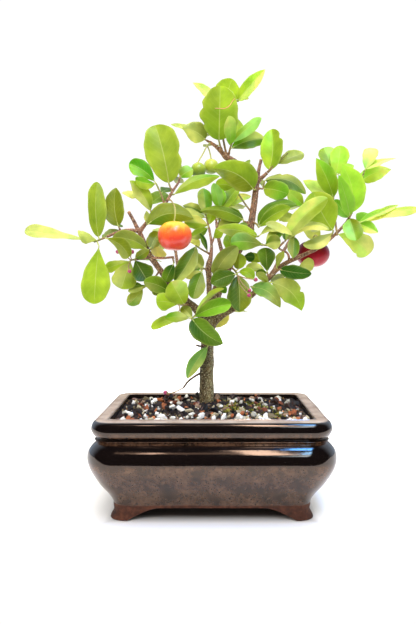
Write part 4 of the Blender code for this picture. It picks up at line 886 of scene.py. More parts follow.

# %% [markdown]
# ## Leaves
#
# The leaves are glossy ovals on short stalks, blunt at the tip, with a pale midrib and faint side veins. A
# spray is its shoot's path, the shoot's radius, how many leaves are guessed on its far side, and a row for
# each leaf that is read from the picture: where its base and tip are, across and up, how wide it is, how it
# bows and rolls, how much deeper its tip lies, and how its two halves fold. The first word of a row is its
# tone. One letter colours the whole blade. Of two, the first is for the half on the left of an upright leaf
# and the second for the other half; of four, two are for the halves at the base and two for those at the tip.
# The letters name greens, and were given one by one with each leaf's median colours in the photograph and in
# a render in view. Besides the leaves' own greens they hold painted light and shade: brighter tones where a
# half faces the light and shines, darker ones where it lies in shade. The second word names the blade's
# outline, which is oval where there is none. The source turned some leaves a little so that they clear each
# other, and the imported nodes tell which turn each leaf took.

# %% Leaf readings
SPRAYS = {
    "far_left": ([(-99, 241, -23), (-106, 238, -24), (-113.5, 235, -25)], 1, 1, [
        (-112.5, 234, -180, 246, 15, -1, 35, -8, 12, "c", "spoon"),
        (-110, 236, -128.5, 241.5, 13, 1, 35, -22, -15, "p", "wedge"),
        (-109.5, 240, -110.5, 292.5, 19, -3, 20, 8, 18, "l", "round"),
        (-109, 231, -113.5, 175.5, 27.5, -1, 8, -8, 12, "b", "drop"),
        (-102, 238.5, -80, 220.5, 16, 3, -25, -18, -14, "oeoe", "wedge"),
    ]),
    "left_up": ([(-88, 245, -21), (-90, 250, -19)], 0.9, 1, [
        (-90.5, 250.5, -92.5, 287, 20, -2, -15, 10, 16, "o", "egg"),
    ]),
    "arch": ([(-64, 252.5, -16), (-62.5, 252, -24)], 0.9, 0, [
        (-60, 251, -18, 257, 23, 8, 30, -8, -16, "omeo", "lance"),
        (-66, 254.5, -63.5, 265, 8, 0, 50, 6, 16, "c", "lance"),
    ]),
    "left_high": ([(-57, 261, -14), (-61, 268, -10), (-67, 279, -6)], 0.9, 1, [
        (-58, 264.5, -79.5, 294, 16, 2, 25, -8, 16, "clpb", "lance"),
        (-68.5, 280, -87, 282, 12, 1, 55, -10, -12, "y", "lance"),
    ]),
    "left_crown": ([(-46, 271, -11), (-49, 280, -9), (-54, 291, -7)], 0.9, 1, [
        (-55.5, 293, -80, 310.5, 18, 2, 20, -6, 18, "gshs", "wedge"),
        (-55, 291, -74, 295, 13, -1, 35, -16, -12, "lgbg"),
    ]),
    "big_left": ([(-38, 284, -8), (-40.5, 287.5, -5), (-42, 292, -3)], 0.9, 0, [
        (-42, 291, -55, 347, 35, 1, 6, 6, 12, "l", "round"),
        (-43, 294, -54, 347, 26, 0, 15, 24, 12, "l"),
    ]),
    "left_long": ([(-40.3, 280.6, -8.8), (-37, 280.6, -15)], 0.9, 0, [
        (-35.5, 280, 7, 298, 17, 6, 48, -10, -14, "plgl", "lance"),
    ]),
    "left_tip": ([(-32, 293, -6), (-31, 299, -4)], 0.8, 1, [
        (-31, 292.5, -18.5, 304.5, 14, 1, 25, 14, 14, "agub"),
        (-31, 300, -38, 313, 11, 0, 30, 20, 14, "to"),
    ]),
    "top_left": ([(-3, 331, 17), (-7.5, 333.5, 15)], 0.9, 0, [
        (-3, 332.5, -29, 344, 21, 3, 15, -10, -14, "pecp", "egg"),
        (-8, 335, -40, 348, 10, 0, 50, 10, 14, "p", "lance"),
    ]),
    "top_big": ([(10, 320, 19), (7.5, 327, 14), (6, 333, 11)], 1, 1, [
        (6, 332, 7.5, 385, 38, 0, 0, -6, 12, "aalb", "round"),
    ]),
    "top_high": ([
        (14, 316, 20), (11, 330, 25), (8, 347, 25), (7, 362, 23), (14, 368, 21), (25, 370.5, 19),
    ], 1.1, 2, [
        (12, 366.5, 19, 391.5, 25, -1, 5, -4, 12, "b", "round"),
        (25, 366, 50.5, 400.5, 15, 0, 15, -8, 16, "bwnw", "egg"),
        (6, 364, -19, 388, 12, 1, 40, 6, 14, "w", "lance"),
    ]),
    "top_right": ([(15, 317, 20), (17, 325, 16), (19, 331, 14)], 1, 0, [
        (17, 327, 15.5, 356, 15, 0, 55, -8, 20, "hhww"),
        (18.5, 329, 25, 352.5, 17, 1, 15, 3, 16, "b", "wedge"),
        (20, 331, 47, 354, 14, 2, 35, -12, -14, "buuu"),
        (18.5, 325, 50, 334, 18, 2, 20, 10, 16, "gdcm"),
    ]),
    "leader_left": ([(42, 286, 12), (41, 285, 3)], 1, 0, [
        (39, 286, 0, 305.5, 28, 5, 12, -10, 14, "oaob", "egg"),
    ]),
    "top_twig": ([(50, 299, 10), (57, 306, 8), (64, 313, 6), (72, 320.5, 4)], 1.3, 1, [
        (54, 304, 56.5, 343, 24, 3, -25, 6, 22, "banl", "round"),
        (62, 309.5, 87.5, 320, 14, 0, 30, 6, 14, "pepe"),
    ]),
    "leader_right": ([(42, 286, 12), (48.5, 286.5, 9), (50, 293.5, 9)], 0.9, 1, [
        (49.5, 282.5, 72.5, 281, 19, 1, 10, -12, 12, "algg", "round"),
        (51, 294.5, 89.5, 281, 20, 8, 42, -6, -16, "pdem", "egg"),
    ]),
    "leader_low_right": ([(37.5, 255, 10), (42.5, 252, 2), (44.5, 249, -3)], 1, 0, [
        (43.5, 251, 81, 270, 22, 11, 42, -8, -16, "m", "lance"),
        (46, 249, 75, 268, 15, 2, 25, -18, 14, "maal", "lance"),
    ]),
    "leader_arch": ([(37, 253, 10), (29.5, 255, 11)], 0.9, 0, [
        (29, 256.5, -12, 264.5, 17, 6, 40, -18, -16, "amol", "egg"),
        (29.5, 257, 14, 262, 11, 1, 20, 10, 14, "d", "lance"),
    ]),
    "bright_left": ([(34, 242, 9), (40, 240, 1), (44.5, 240.5, -3)], 1, 1, [
        (43.5, 241, 4.5, 247, 15, 3, 15, -16, -14, "bbpl", "egg"),
        (46, 242, 70, 246, 11, 3, 40, -4, 14, "pc", "lance"),
    ]),
    "teal": ([(47, 232.5, -3), (50, 232, -10), (53, 231.5, -12)], 0.9, 0, [
        (49.5, 231.5, 17.5, 234.5, 17, 2, 5, -14, -12, "eeht", "wedge"),
        (49.5, 230, 65.5, 235.5, 14, 1, 5, -14, 12, "mcec", "wedge"),
        (52, 233.5, 67, 246, 12, 1, 25, 10, 14, "pdem"),
    ]),
    "mid_right": ([(60, 207, -15), (63.5, 208.5, -22), (73, 209.5, -21), (82, 210, -15)], 0.9, 0, [
        (64, 209.5, 95, 204.5, 13.5, -1, 10, -12, 12, "k", "round"),
        (61.5, 211, 68.5, 226, 9, 0, 45, -6, 16, "e"),
        (83, 211.5, 97.5, 212.5, 13, 1, 10, 6, 12, "p", "wedge"),
    ]),
    "mid_right_dark": ([(54, 200, -14.5), (52.5, 206, -7)], 0.9, 0, [
        (52.5, 206, 51, 229.5, 17, 0, 8, 4, 12, "ddmd", "wedge"),
        (55, 206, 42, 202.5, 9, 1, 15, -3, 12, "d"),
        (50, 207, 32, 210, 9, 2, 20, 3, 16, "ecee"),
    ]),
    "yellow": ([(67, 233.5, -19), (72, 238, -20), (79, 241, -21)], 0.8, 0, [
        (79, 241.5, 51, 252.5, 9, 1, 35, -12, 16, "yycc"),
        (76, 240.5, 112, 247, 11, 8, 52, -12, -16, "cypy"),
        (81, 240, 77, 219, 12, 0, 15, -12, 14, "meme", "lance"),
        (67.5, 235, 110.5, 277, 18, 3, 18, -20, 16, "wpwl"),
        (70, 236, 70.5, 243, 7, 0, 10, 7, 12, "d"),
    ]),
    "right_back": ([(82, 252, 46), (86, 262, 42), (88, 272, 36)], 1, 3, [
        (87, 270, 72, 284.5, 14, 0, 10, -8, 14, "hlww"),
        (83, 254, 96, 264, 16, 0, 10, -12, -12, "p"),
        (79, 250, 61, 261, 11, 0, 15, 4, 14, "ycpp"),
        (92, 256, 102, 237, 15, 0, 8, -10, 12, "c"),
    ]),
    "right_olive": ([(114, 239, -18), (114.5, 241, -24), (116, 246, -22)], 0.9, 0, [
        (116, 246, 97, 283, 31, -2, 8, 2, 12, "lbal"),
        (114, 244, 87, 232.5, 12.5, -3, 20, -5, -12, "ypce"),
    ]),
    "right_high": ([
        (119, 243.5, -17), (119.5, 243, -24), (117.5, 258, -12), (116, 274, -3), (117.5, 290, 0),
        (118, 300, 1),
    ], 1, 2, [
        (116, 277, 99.5, 315.5, 19, 1, 12, -12, 16, "aabh", "lance"),
        (113, 280, 87, 294, 15, 0, 15, 8, 12, "cwww", "egg"),
        (117, 300, 107, 325.5, 17, 0, 15, 10, 14, "agau", "wedge"),
        (120, 300, 122.5, 327.5, 18, 1, 0, 4, 12, "n"),
        (120.5, 300, 135.5, 308.5, 9, 1, 25, 12, 14, "n"),
        (120.5, 240, 150.5, 223.5, 21, 3, 8, 4, 12, "wwcw", "wedge"),
    ]),
    "right_tall": ([(131, 257.5, -15), (131.5, 258.5, -21), (134, 263, -21)], 0.9, 0, [
        (137, 262, 124.5, 309.5, 25, 4, 8, -12, 14, "n", "lance"),
        (131.5, 260, 121, 299.5, 14, 0, 30, -14, 16, "h", "egg"),
        (131, 258, 138, 236.5, 18, 0, 8, -16, 12, "ouau"),
        (131, 258.5, 117.5, 276, 13, -1, 10, 14, 14, "hhgg", "egg"),
    ]),
    "right_top": ([(130, 255.5, -15), (136, 270, 2), (141, 288, 8), (146, 304, 8)], 1, 2, [
        (146.5, 304, 154, 325, 15, 0, 15, 4, 14, "uwyy", "wedge"),
        (147, 305, 176, 315, 12, 1, 50, -8, 16, "bwwy", "egg"),
        (141.5, 294, 171.5, 304.5, 16.5, 3, 20, 8, -12, "hbww", "egg"),
    ]),
    "right_end": ([(136, 254.5, -17), (141, 252.5, -19)], 0.9, 0, [
        (142, 252.5, 198, 267, 13, 5, 40, -10, -14, "yynw", "wedge"),
        (140, 254, 178.5, 270.5, 11, -1, 45, 10, 14, "hwbw", "lance"),
        (137.5, 255, 153, 260, 14, 2, 25, 16, 14, "g", "egg"),
        (140.5, 251, 159, 244, 12, 0, 25, -12, 16, "gbhy", "egg"),
    ]),
    "low_bright": ([(41, 187, -12), (37, 192.5, -17)], 0.9, 1, [
        (36, 194, 65, 172, 15, 5, 10, -14, 14, "ttee", "egg"),
    ]),
    "low_pale": ([(51, 197, -14), (55, 195.5, -21)], 0.9, 1, [
        (57, 196, 85.5, 169, 21, 6, 8, -8, -12, "ppaa", "lance"),
        (54.5, 196.5, 42, 204.5, 8, 1, 20, -6, 12, "oeee"),
    ]),
    "inner_dark": ([(16, 213, 6), (22, 207, -3), (24, 203, -7)], 1, 0, [
        (24, 202.5, 26, 168, 23, 1, 8, -14, 14, "edod"),
        (22, 204, -1, 195, 17, 1, 10, -3, 12, "d"),
        (25.5, 206, 39, 199.5, 11, 3, 20, -8, 14, "a"),
        (25, 209, 26, 224, 14, 0, 10, 4, 14, "obol", "round"),
    ]),
    "inner_olive": ([(4, 188, 3), (2, 197, -9), (2, 203, -13)], 1, 0, [
        (1.5, 202.5, 24, 230.5, 20, 3, -30, -10, 20, "eeep", "round"),
        (3, 200, 13, 186, 9, 0, 15, 2, 12, "g"),
    ]),
    "inner_left": ([(-3.6, 207, 0), (-8, 209.5, -6), (-10.5, 209, -9)], 1, 0, [
        (-9, 211, -26, 223.5, 16, 0, 8, -8, 12, "cece", "round"),
        (-11.5, 208.5, -28, 208.5, 9, 1, 20, 4, 12, "g"),
        (-11, 207, -27.5, 203, 9, -1, 20, -12, -12, "y"),
        (-10, 206, -18.5, 180.5, 16, -1, 8, -12, 16, "emem"),
    ]),
    "dark_curl": ([(-1.5, 223, 0), (-9, 227, -4), (-16, 231.5, -9)], 0.9, 0, [
        (-18, 233, -36, 197, 18, -2, 12, -12, 16, "empd"),
        (-5, 226.5, -12.5, 243, 9, 0, 50, -6, 16, "mkmk"),
        (-12, 230.5, -20, 239.5, 9, 0, 25, 10, 12, "c"),
    ]),
    "centre_top": ([(-3, 247, 2), (-5, 255, 2), (-6.5, 262, 2)], 0.9, 0, [
        (-6.5, 264, -9, 286.5, 15, 0, 15, 6, 14, "cglg", "round"),
        (-7.5, 262.5, -28.5, 270, 10, 1, 35, 6, 14, "meec", "lance"),
        (-7, 258.5, -28, 265, 11, 1, 40, -10, -12, "c"),
        (-4, 249.5, -27, 254, 13, 1, 10, -10, 12, "lyac"),
        (-4.5, 248.5, -21, 240, 10, -1, 12, -16, -12, "mapa"),
        (-4, 250, 2.5, 268, 10, 0, 10, 8, 14, "wbwb"),
    ]),
    "centre_mid": ([(-1, 233, 1), (3, 243, 7), (6.5, 255, 10), (8, 267, 10)], 0.9, 0, [
        (4.5, 246, 25.5, 264, 18, 0, 8, 2, 14, "yymm", "wedge"),
        (6.5, 251, 25, 250.5, 10, 2, 15, 8, -12, "t"),
        (1.5, 234.5, 11, 246, 10, 1, 20, -8, 14, "b"),
        (6.5, 267.5, 1, 291.5, 13, 0, 15, -8, 14, "huuu"),
        (8, 269.5, 9, 286, 10, 0, 35, 8, 14, "ggnn"),
        (9.5, 267, 27, 290, 15, 0, 30, -4, 16, "abab", "egg"),
        (9, 267.5, 37, 279, 12, 1, 20, 10, 14, "wwyw", "lance"),
    ]),
    "centre_high": ([(38.5, 262, 10.5), (31, 272, 22), (23, 284, 28)], 0.9, 2, [
        (21.5, 286, 3, 288.5, 14, 3, 8, -6, -12, "llab"),
        (25, 283, 36, 314, 11, 1, 20, 10, 14, "l", "lance"),
    ]),
    "inner_right": ([(19, 218, 7), (26, 220, 0), (29.5, 221, -3)], 0.9, 0, [
        (30.5, 221, 40.5, 220.5, 10, 0, 5, -3, 12, "k"),
        (28, 222.5, 47.5, 219, 10, 0, 8, 12, 12, "l"),
        (21, 221, 14, 242.5, 13, 0, 8, 4, 12, "a"),
    ]),
    "lower_left_front": ([(-22, 176, -9), (-26.5, 174.5, -17), (-33, 175, -21)], 1, 0, [
        (-27, 175.5, -39.5, 197, 22, 0, 5, -14, 12, "bbbw"),
        (-33, 175.5, -54, 178, 17, 1, 5, -8, -12, "b", "wedge"),
    ]),
    "lower_left_mid": ([(-34, 187, -12.5), (-40, 186, -19)], 0.9, 0, [
        (-41, 186.5, -66, 196.5, 15, 2, 12, -10, 16, "mdea"),
        (-42, 184.5, -58, 187.5, 8, 0, 20, 2, 12, "e"),
    ]),
    "trunk_front": ([(-13, 168, -4.5), (-17, 164, -14), (-20, 161, -19)], 1.1, 0, [
        (-17, 160.5, 18, 175.5, 16, 2, 10, -16, 14, "mggh", "wedge"),
        (-21.5, 160, 10, 137.5, 20, -3, 5, -12, 12, "mkmd", "egg"),
        (-23, 162, -45.5, 162, 10, 1, 8, -8, 12, "pcag"),
        (-18, 166, 11.5, 190, 11, 2, 52, -14, 18, "wole"),
        (-19.5, 163, -29.5, 173, 10, 0, 10, -2, 12, "ceoe"),
        (-21, 163, -58.5, 152, 10, 3, 12, 4, 12, "ppbb", "wedge"),
    ]),
    "trunk_back": ([(3, 160, -1.5), (9, 169, 9), (16, 172, 14)], 1, 2, [
        (20, 172, 2, 153, 14, 0, 10, -2, -12, "y", "lance"),
    ]),
    "low_leaf": ([(-4.8, 137, 0), (-4.5, 136, -9)], 0.9, 0, [
        (-4.5, 134.5, -24.5, 104, 12.5, 1, 12, -10, 14, "ttpt", "lance"),
    ]),
    "left_low": ([(-50, 208, -15), (-57, 199, -8), (-66, 191, -6)], 0.9, 0, [
        (-67, 190.5, -81, 175, 13, -1, 12, -10, 14, "ppme", "wedge"),
        (-67, 192.5, -80, 190.5, 10, 0, 15, 6, 12, "d"),
        (-63, 193, -80.5, 187, 8, 1, 20, -14, -12, "cmpe"),
    ]),
    "left_pale": ([(-71, 219, -12), (-78, 217.5, -14)], 0.9, 1, [
        (-79, 217, -87.5, 190, 23, 0, 5, -8, -12, "pplp", "wedge"),
        (-75, 220, -63, 198.5, 20, 0, 8, 4, 12, "dddk", "wedge"),
        (-74, 219.5, -61, 227, 9, 0, 10, -6, 12, "omeo"),
        (-79.5, 216.5, -103, 209, 11, 0, 20, 8, 12, "bcla", "wedge"),
    ]),
    "left_inner": ([(-61.5, 225, -16), (-59.5, 228.5, -23)], 0.9, 0, [
        (-63, 228, -96, 238, 16, 4, 5, -8, 12, "leee"),
        (-61, 230.5, -50.5, 244, 14, 1, 10, 14, 12, "oeoe", "round"),
        (-56.5, 229, -44, 223, 12, 0, 15, 14, -12, "y", "round"),
    ]),
    "left_cross": ([(-38, 220.5, -22), (-37, 215, -22)], 0.9, 0, [
        (-37.5, 213.5, -45, 197, 13, 0, 10, 8, 12, "kkdm"),
    ]),
    "back_centre": ([(4, 252, 62), (3, 261, 69), (7, 272, 71)], 1.1, 6, []),
    "back_left": ([(-36, 231, 50), (-37, 240, 56), (-38, 249, 60)], 1.2, 6, []),
}
BUDS = {
    "left_pale": [
        [(-78, 217.5, -14), (-83, 221, -19), (-91, 225.5, -21)],
        [(-77, 217.5, -14), (-78.5, 221, -20), (-77, 225.5, -22)],
        [(-78, 217.5, -14), (-80.5, 212, -22), (-79.5, 207, -24)],
    ],
    "lower_left_front": [[(-32, 175, -21), (-31.5, 170, -23), (-33.5, 166.5, -24)]],
    "inner_dark": [
        [(24, 203, -7), (31, 200.5, -19), (41.5, 198.8, -22)],
        [(24, 203, -7), (28, 196, -21), (35.5, 188.5, -24)],
        [(24, 203, -7), (26.5, 194, -20), (35, 184, -26)],
    ],
}
LOW_BUD = [(-28, 95, -9), (-34, 92, -11), (-40, 89.9, -13), (-45, 90.5, -14)]
print(sum(len(rows) for _, _, _, rows in SPRAYS.values()), "leaves are read from the picture")

# %% How a leaf lies
SEED = 7
SHORTEST_NECK = 0.8
STRAIGHT = 0.6
SMALL_LENGTH = 21.0
FOLDED_LENGTH = 38.0
LARGE_LENGTH = 42.0
WAVE = 0.012
EXTRA_TONES = "aepm"
EXTRA_FACING = (0.15, -0.25, 1.0)
EXTRA_LENGTHS = (26.0, 40.0)
OUTLINES = {
    "oval": (0.8, 0.6), "round": (0.55, 0.55), "egg": (0.55, 0.85), "lance": (0.85, 0.85),
    "wedge": (1.1, 0.5), "drop": (1.4, 0.6), "spoon": (1.8, 0.5),
}


def leaf_nature(number, outline="oval"):
    """What makes each leaf its own: how it widens, how bluntly it closes and where its edges wave."""
    chance = random.Random(SEED * 1000 + number)
    widens, closes = OUTLINES[outline]
    closes *= chance.uniform(0.85, 1.15)
    return {"widens": widens, "closes": closes, "left": chance.uniform(0, 1), "right": chance.uniform(0, 1)}


def leaf_length(leaf):
    """From base to tip, in a straight line."""
    return np.linalg.norm(leaf["tip"] - leaf["base"])


def leaf_lines(leaf, along):
    """The midrib, (1-u)^2 base + 2u(1-u) control + u^2 tip, with the directions across and out of it."""
    base, tip = leaf["base"], leaf["tip"]
    length = leaf_length(leaf)
    axis = (tip - base) / length
    face = unit(leaf["facing"] - (leaf["facing"] @ axis) * axis)
    side = np.cross(axis, -face)
    lift = side if side[2] + 0.35 * side[0] > 0 else -side
    roll = math.radians(leaf["roll"])
    face = math.cos(roll) * face + math.sin(roll) * lift
    bulge = 0.1 * length * math.copysign(1.0, leaf["fold"])
    control = (base + tip) / 2 + 2 * leaf["bow"] * lift + bulge * face
    u = np.asarray(along, float)[:, None]
    middle = (1 - u) ** 2 * base + 2 * u * (1 - u) * control + u**2 * tip
    heading = 2 * (1 - u) * (control - base) + 2 * u * (tip - control)
    heading /= np.linalg.norm(heading, axis=1)[:, None]
    out = face - (heading @ face)[:, None] * heading
    out /= np.linalg.norm(out, axis=1)[:, None]
    return middle, np.cross(heading, out), out


def straightness(leaf):
    """How nearly the neck of the leaf runs on into its midrib: 1 where it does, 0 at a right angle."""
    _, side, out = leaf_lines(leaf, [0.0])
    return unit(leaf["base"] - leaf["foot"]) @ np.cross(out[0], side[0])


def leaf_from_reading(row, readings, number):
    """A leaf that is seen from the front, on the shoot with these readings."""
    x0, z0, x1, z1, width, bow, roll, depth, fold = row[:9]
    _, _, spot, _ = nearest_on(readings[:, :2], readings, np.array([x0, z0], float))
    base = seen((x0, z0, spot[2]))
    tip = seen((x1, z1, spot[2] + depth))
    foot = seen(spot)
    leaf = {"foot": foot, "base": base, "tip": tip, "facing": -unit((base + tip) / 2 - EYE)}
    leaf |= {"width": width, "bow": bow, "roll": roll, "fold": fold, "nature": leaf_nature(number, *row[10:])}
    if straightness(leaf) * np.linalg.norm(base - foot) < SHORTEST_NECK or straightness(leaf) < STRAIGHT:
        leaf["base"] = foot + SHORTEST_NECK * unit(tip - foot)
    return leaf


def extra_leaf(points, share, number):
    """A leaf on the far side of a shoot, which points away from the front."""
    chance = random.Random(SEED * 5000 + number)
    where = share * (len(points) - 1)
    step = min(int(where), len(points) - 2)
    foot = points[step] + (where - step) * (points[step + 1] - points[step])
    heading = unit(np.array([chance.uniform(-0.75, 0.75), 0.8, chance.uniform(-0.25, 0.45)]))
    length = chance.uniform(*EXTRA_LENGTHS)
    base = foot + heading * 3.0
    leaf = {"foot": foot, "base": base, "tip": base + heading * length, "facing": np.array(EXTRA_FACING)}
    leaf |= {"width": length * 0.42, "bow": 0.0, "roll": chance.uniform(-25, 25), "fold": 14.0}
    return leaf | {"nature": leaf_nature(number)}


def leaf_shape(leaf, along):
    """Half of the blade's width: u^widens * (1-u)^closes, scaled to peak at half of the width."""
    widens, closes = leaf["nature"]["widens"], leaf["nature"]["closes"]
    peak = widens / (widens + closes)
    u = np.asarray(along, float)
    return leaf["width"] / 2 * u**widens * (1 - u) ** closes / (peak**widens * (1 - peak) ** closes)


def phase(leaf, v, swapped=False):
    """The number from 0 to 1 that each half of the leaf has; swapped gives each half the other's."""
    return np.where((v < 0) != swapped, leaf["nature"]["left"], leaf["nature"]["right"])


def edge_wave(leaf, u, v):
    """WAVE of the length, times sin(2 pi (1.3 u + phase)) * v^2 * sin(pi u)."""
    wave = np.sin(2 * math.pi * (1.3 * u + phase(leaf, v)))
    return WAVE * leaf_length(leaf) * wave * v**2 * np.sin(math.pi * u)


# %% Which turn each leaf took
BASE_TURNS = (0, -4, 4, -8, 8, -12)
TIP_TURNS = (0, 4, -4, 8, -8, 12, -12, 16, -16, 20, -20, 26, -26, 32, -32)
ROLL_TURNS = (0, 10, -10, 20, -20, 35, -35)
TURNS = sorted(
    ((base, tip, roll) for base in BASE_TURNS for tip in TIP_TURNS for roll in ROLL_TURNS),
    key=lambda turn: abs(turn[0]) / 3 + abs(turn[1]) / 4 + abs(turn[2]) / 10,
)
BLADE_STEPS = {"small": (0.3, 0.97), "middling": (0.2, 0.975), "large": (0.15, 0.98)}
PLAIN_NARROWEST = 0.6
PLAIN_HALF = 0.35


def turned_leaf(leaf, base, tip, roll):
    """The leaf rolled, with its base and its tip moved along their lines of sight."""
    base = leaf["base"] + unit(leaf["base"] - EYE) * base
    tip = leaf["tip"] + unit(leaf["tip"] - EYE) * tip
    return leaf | {"base": base, "tip": tip, "roll": leaf["roll"] + roll}


def blade_corners(leaf):
    """The corners of the plain blade's first and last section, on its seen face."""
    length = leaf_length(leaf)
    size = "small" if length < SMALL_LENGTH else "large" if length > LARGE_LENGTH else "middling"
    steps = np.array(BLADE_STEPS[size])
    middle, side, out = leaf_lines(leaf, steps)
    half = np.maximum(leaf_shape(leaf, steps), PLAIN_NARROWEST)[:, None]
    fold = math.radians(leaf["fold"]) if length > FOLDED_LENGTH else 0.0
    v = np.array([-1.0, 1.0])[None, :]
    raised = half * math.sin(fold) + edge_wave(leaf, steps[:, None], v) + PLAIN_HALF
    corners = middle[:, None] + (v * half * math.cos(fold))[..., None] * side[:, None]
    return (corners + raised[..., None] * out[:, None]).reshape(-1, 3)


def as_packed(leaf, packed, tolerance=0.05):
    """The leaf in the first turn whose corners are all, or all but one, among the node's points, or None."""
    nearly = None
    for turn in TURNS:
        trial = turned_leaf(leaf, *turn)
        if straightness(trial) < STRAIGHT:
            continue
        corners = blade_corners(trial)
        last = np.abs(packed - corners[-1]).max(axis=1).min()
        if last > tolerance:
            continue
        apart = sorted(np.abs(packed - corner).max(axis=1).min() for corner in corners)
        if apart[-1] < tolerance:
            return trial
        if apart[-2] < tolerance:
            nearly = nearly or trial
    return nearly


def packed_points(name):
    """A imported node's points, in millimetres in the layout."""
    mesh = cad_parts[name].data
    points = np.empty(len(mesh.vertices) * 3, np.float32)
    mesh.vertices.foreach_get("co", points)
    return points.reshape(-1, 3) / MM - MIDDLE


leaves, shoots, number = {}, {}, 0
for name, (readings, radius, extras, rows) in SPRAYS.items():
    readings, points, spur = seated(readings, radius)
    shoots[name] = (points, radius)
    add_spur(spur, radius)
    packed = packed_points("spray_" + name)
    found = []
    for row in rows:
        found.append((as_packed(leaf_from_reading(row, readings, number), packed), row[9]))
        number += 1
    for k in range(extras):
        leaf = extra_leaf(points, (k + 0.7) / (extras + 0.2), number)
        found.append((as_packed(leaf, packed), EXTRA_TONES[number % len(EXTRA_TONES)]))
        number += 1
    leaves[name] = [(leaf, tone) for leaf, tone in found if leaf is not None]
    if len(leaves[name]) < len(found):
        print(name, "holds", len(leaves[name]), "of", len(found), "leaves")
print(sum(map(len, leaves.values())), "of", number, "leaves are in the packed model")

# %% [markdown]
# ## Blades, stalks and veins
#
# A blade is a closed skin: a seen face and a back that meet at a thin edge. Across it the halves rise from
# the midrib as |v|^1.3, so that the fold is soft; its edges waver, wave and curl a little; and the midrib
# stands proud on the back. A few blades are bitten. The map on the blade gives the veins their place in the
# material: u runs from base to tip, and v across. Soft clouds, a paler rim that is a painted highlight, and a
# darker base are painted on the points.

# %% Leaf surfaces
# Greens by letter: the leaves' own greens, with painted light and shade where a half or a tip was given a
# brighter or darker green for how light falls on it
TONES = {
    "y": (246, 250, 148), "w": (214, 240, 125), "c": (212, 220, 132), "p": (188, 200, 108),
    "n": (186, 234, 76), "b": (178, 206, 58), "l": (166, 188, 56), "h": (156, 212, 62),
    "a": (146, 178, 42), "g": (122, 178, 32), "s": (92, 168, 18), "u": (176, 228, 120),
    "t": (134, 182, 92), "e": (152, 166, 74), "o": (138, 152, 32), "m": (108, 146, 32),
    "d": (88, 122, 22), "k": (58, 106, 20),
}
BITES = {
    ("top_twig", 0): [(1, 0.72, 0.3, 0.05)],
    ("leader_right", 1): [(-1, 0.35, 0.35, 0.03)],
    ("low_pale", 0): [(-1, 0.62, 0.28, 0.03)],
    ("big_left", 0): [(1, 0.42, 0.12, 0.06)],
    ("top_big", 0): [(-1, 0.58, 0.14, 0.05), (-1, 0.3, 0.1, 0.05)],
    ("top_right", 3): [(-1, 0.5, 0.15, 0.06)],
    ("right_high", 5): [(1, 0.7, 0.14, 0.05)],
}
FOLD_LINES = {
    ("top_big", 0): [[(0.56, -0.26), (0.56, 0.0), (0.58, 0.26), (0.63, 0.52), (0.7, 0.76), (0.76, 0.93)]],
}
ALONG = (1 - np.cos(np.linspace(0, math.pi, 34))) / 2
ACROSS = np.array([-1, -0.93, -0.76, -0.52, -0.26, -0.07, 0, 0.07, 0.26, 0.52, 0.76, 0.93, 1])
LEAF_HALF = 0.16
BRIGHTEST = 0.8
STALK_RADII = (0.75, 0.6, 0.42)
BUD_STALK = 0.5


def blade_tones(tone, u, v):
    """The colour at each point: the halves' tones at the base, blended into those at the tip."""
    corners = [linear(TONES[letter]) for letter in tone * (4 // len(tone))]
    side = np.clip(v * 4 + 0.5, 0, 1)[..., None]
    ahead = np.clip((u - 0.25) * 2, 0, 1)[..., None]
    return blend(blend(corners[0], corners[1], side), blend(corners[2], corners[3], side), ahead)


def waver(leaf, u, v):
    """How much wider or narrower each half is, less its bites.

    0.045 sin(2 pi (1.5 u + p)) + 0.02 sin(2 pi (4 u + 3 p)), where p is four times the half's phase
    """
    p = phase(leaf, v) * 4
    slow = 0.045 * np.sin(2 * math.pi * (1.5 * u + p)) + 0.02 * np.sin(2 * math.pi * (4 * u + 3 * p))
    bitten = sum(
        depth * np.exp(-(((u - place) / reach) ** 2)) * (np.sign(v) == half)
        for half, place, depth, reach in leaf.get("bites", [])
    )
    return (slow - bitten) * np.abs(v)


def curl(leaf, u, v):
    """The edges' turn up or down, as a share of the half width: 0.14 |v|^3 cos(2 pi (0.8 u + 3 phase))."""
    return 0.14 * np.abs(v) ** 3 * np.cos(2 * math.pi * (0.8 * u + phase(leaf, v, swapped=True) * 3))


def blade_rings(leaf):
    """Rings round the blade, with u and v at each point: the seen face from v = -1 to 1, then the back."""
    u, v = ALONG[:, None], ACROSS[None, :]
    middle, side, out = leaf_lines(leaf, ALONG)
    half = np.maximum(leaf_shape(leaf, ALONG), 0.25)[:, None] * (1 + waver(leaf, u, v))
    length = leaf_length(leaf)
    fold, rise = math.radians(leaf["fold"]), np.abs(v) ** 1.3
    if length <= FOLDED_LENGTH:
        fold, rise = 0.5 * fold, rise - 0.5
    crinkle = np.sin(2 * math.pi * (3.4 * u + 3 * leaf["nature"]["left"] + 0.2 * v)) * v**2
    crinkle = 0.006 * length * crinkle * np.sin(math.pi * u)
    raised = half * (math.sin(fold) * rise + curl(leaf, u, v)) + edge_wave(leaf, u, v) + crinkle
    surface = middle[:, None] + (v * half * math.cos(fold))[..., None] * side[:, None]
    surface = surface + raised[..., None] * out[:, None]
    tapered = 0.4 + 0.6 * np.sin(math.pi * np.clip(u, 0.02, 0.98)) ** 0.3
    thin = LEAF_HALF * (1 - 0.75 * np.abs(v) ** 6) * tapered
    rib = 0.5 * (1 - u) * np.exp(-((v * half / 0.55) ** 2))
    front = surface + thin[..., None] * out[:, None]
    back = surface - (thin + rib)[..., None] * out[:, None]
    rings = np.concatenate([front, back[:, ::-1]], axis=1)
    u, v = np.broadcast_to(u, thin.shape), np.broadcast_to(v, thin.shape)
    return rings, np.concatenate([u, u], axis=1), np.concatenate([v, v[:, ::-1]], axis=1)


